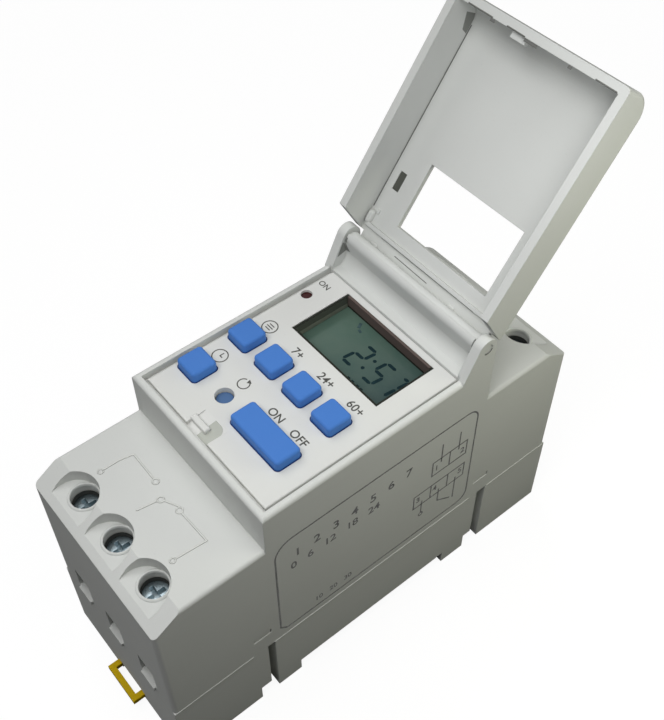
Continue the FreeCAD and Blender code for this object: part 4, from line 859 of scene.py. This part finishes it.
coil = bmesh.new()
rows = []
count = STEPS_IN_TURN * SPRING_TURNS
for i in range(count + 1):
    here, before, after = (coil_point(SPRING_TURNS * (i + step) / count) for step in (0.0, -0.1, 0.1))
    out = Vector((here.x - spring_axis.x, 0.0, here.z - spring_axis.z)).normalized()
    side = (after - before).normalized().cross(out).normalized()
    rows.append([coil.verts.new(here + (out * math.cos(t) + side * math.sin(t)) * WIRE_RADIUS)
                 for t in (2.0 * math.pi * k / WIRE_SIDES for k in range(WIRE_SIDES))])
for first, second in zip(rows, rows[1:]):
    for k in range(WIRE_SIDES):
        m = (k + 1) % WIRE_SIDES
        coil.faces.new((first[k], first[m], second[m], second[k]))
coil.faces.new(rows[0])
coil.faces.new(rows[-1])
turn_outward(coil)
spring = piece("clip_coil", coil, Matrix.Scale(MM, 4), "spring_steel", smooth=True)
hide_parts("clip_spring")
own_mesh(spring)


# The floor, the lamps and the camera, with lengths in metres.

FLOOR_HALF = 3.0
FLOOR_DROP = 0.0001
FLOOR_GREY = 0.12
FLOOR_GLOW = 0.92
DIM_WORLD = (0.02, 0.02, 0.0206, 1.0)
WHITE = (1.0, 1.0, 1.0, 1.0)
LENS_LENGTH = 52.93
CAMERA_TURN = ((0.6305, -0.5908, 0.50336), (0.7762, 0.4833, -0.40498), (-0.0040, 0.6460, 0.76329))
CAMERA_PLACE = (0.088631, -0.066995, 0.188668)


def pale_floor():
    """A grey card for the light, which the camera and reflections see as near white."""
    look = Look("pale_floor")
    card = look.add("ShaderNodeBsdfDiffuse", {"Color": (FLOOR_GREY, FLOOR_GREY, FLOOR_GREY, 1.0)})
    glow = look.add("ShaderNodeEmission", {"Color": WHITE})
    look.feed(glow.inputs["Strength"], look.maths("MULTIPLY", look.seen_ray(), FLOOR_GLOW))
    both = look.add("ShaderNodeAddShader", {0: card.outputs[0], 1: glow.outputs[0]})
    look.feed(look.output.inputs["Surface"], both.outputs[0])
    mesh = bmesh.new()
    bmesh.ops.create_grid(mesh, x_segments=8, y_segments=8, size=FLOOR_HALF)
    data = bpy.data.meshes.new("floor")
    mesh.to_mesh(data)
    mesh.free()
    data.materials.append(look.owner)
    floor = bpy.data.objects.new("floor", data)
    floor.location = (0.0, 0.0, FEET * MM - FLOOR_DROP)
    bpy.context.scene.collection.objects.link(floor)


def studio_world():
    """A dim grey surrounding, which the camera and reflections see as white."""
    bpy.context.scene.world = bpy.data.worlds.new("studio")
    world = Nodes(bpy.context.scene.world, "ShaderNodeOutputWorld")
    dim = world.add("ShaderNodeBackground", {"Color": DIM_WORLD})
    bright = world.add("ShaderNodeBackground", {"Color": WHITE})
    mixed = world.add("ShaderNodeMixShader", {0: world.seen_ray(), 1: dim.outputs[0], 2: bright.outputs[0]})
    world.feed(world.output.inputs["Surface"], mixed.outputs[0])


def lamp(name, kind, place, target, power, **settings):
    light = bpy.data.lights.new(name, kind)
    light.energy = power
    for key, value in settings.items():
        setattr(light, key, value)
    item = bpy.data.objects.new(name, light)
    item.location = place
    item.rotation_euler = (Vector(target) - item.location).to_track_quat("-Z", "Y").to_euler()
    bpy.context.scene.collection.objects.link(item)
    return item


def overhead(name, direction, strength, angle):
    """Soft light from a direction; the angle, in degrees, is how wide the sky that sends it is."""
    lamp(name, "SUN", direction, (0.0, 0.0, 0.0), strength, angle=math.radians(angle))


def soft_box(name, place, target, size, power, tint=(1.0, 1.0, 1.0)):
    """A round diffuser of that diameter and power in watts, which the camera doesn't see."""
    lamp(name, "AREA", place, target, power, shape="DISK", size=size, color=tint).visible_camera = False


def camera():
    data = bpy.data.cameras.new("camera")
    data.sensor_fit = "AUTO"
    data.sensor_width = 36.0
    data.lens = LENS_LENGTH
    data.clip_start = 0.01
    item = bpy.data.objects.new("camera", data)
    matrix = Matrix(CAMERA_TURN).to_4x4()
    matrix.translation = CAMERA_PLACE
    item.matrix_world = matrix
    bpy.context.scene.collection.objects.link(item)
    bpy.context.scene.camera = item


pale_floor()
studio_world()
overhead("near_sky", (0.0, -0.5, 0.85), 0.90, 30.0)
overhead("left_sky", (-0.6, 0.0, 0.8), 0.98, 40.0)
soft_box("panel_light", (0.06, -0.02, 0.168), (0.0, 0.01, 0.06), 0.10, 0.060)
soft_box("front_light", (-0.004, -0.0435, 0.100), (0.0, -0.020, 0.050), 0.06, 0.0058)
soft_box("lid_light", (0.030, 0.018, 0.115), (-0.0165, 0.045, 0.09), 0.03, 0.0045)
soft_box("side_fill", (0.09, 0.07, 0.09), (0.018, 0.02, 0.04), 0.06, 0.036, (0.99, 1.0, 0.82))
camera()
bpy.context.scene.view_settings.view_transform = "Standard"
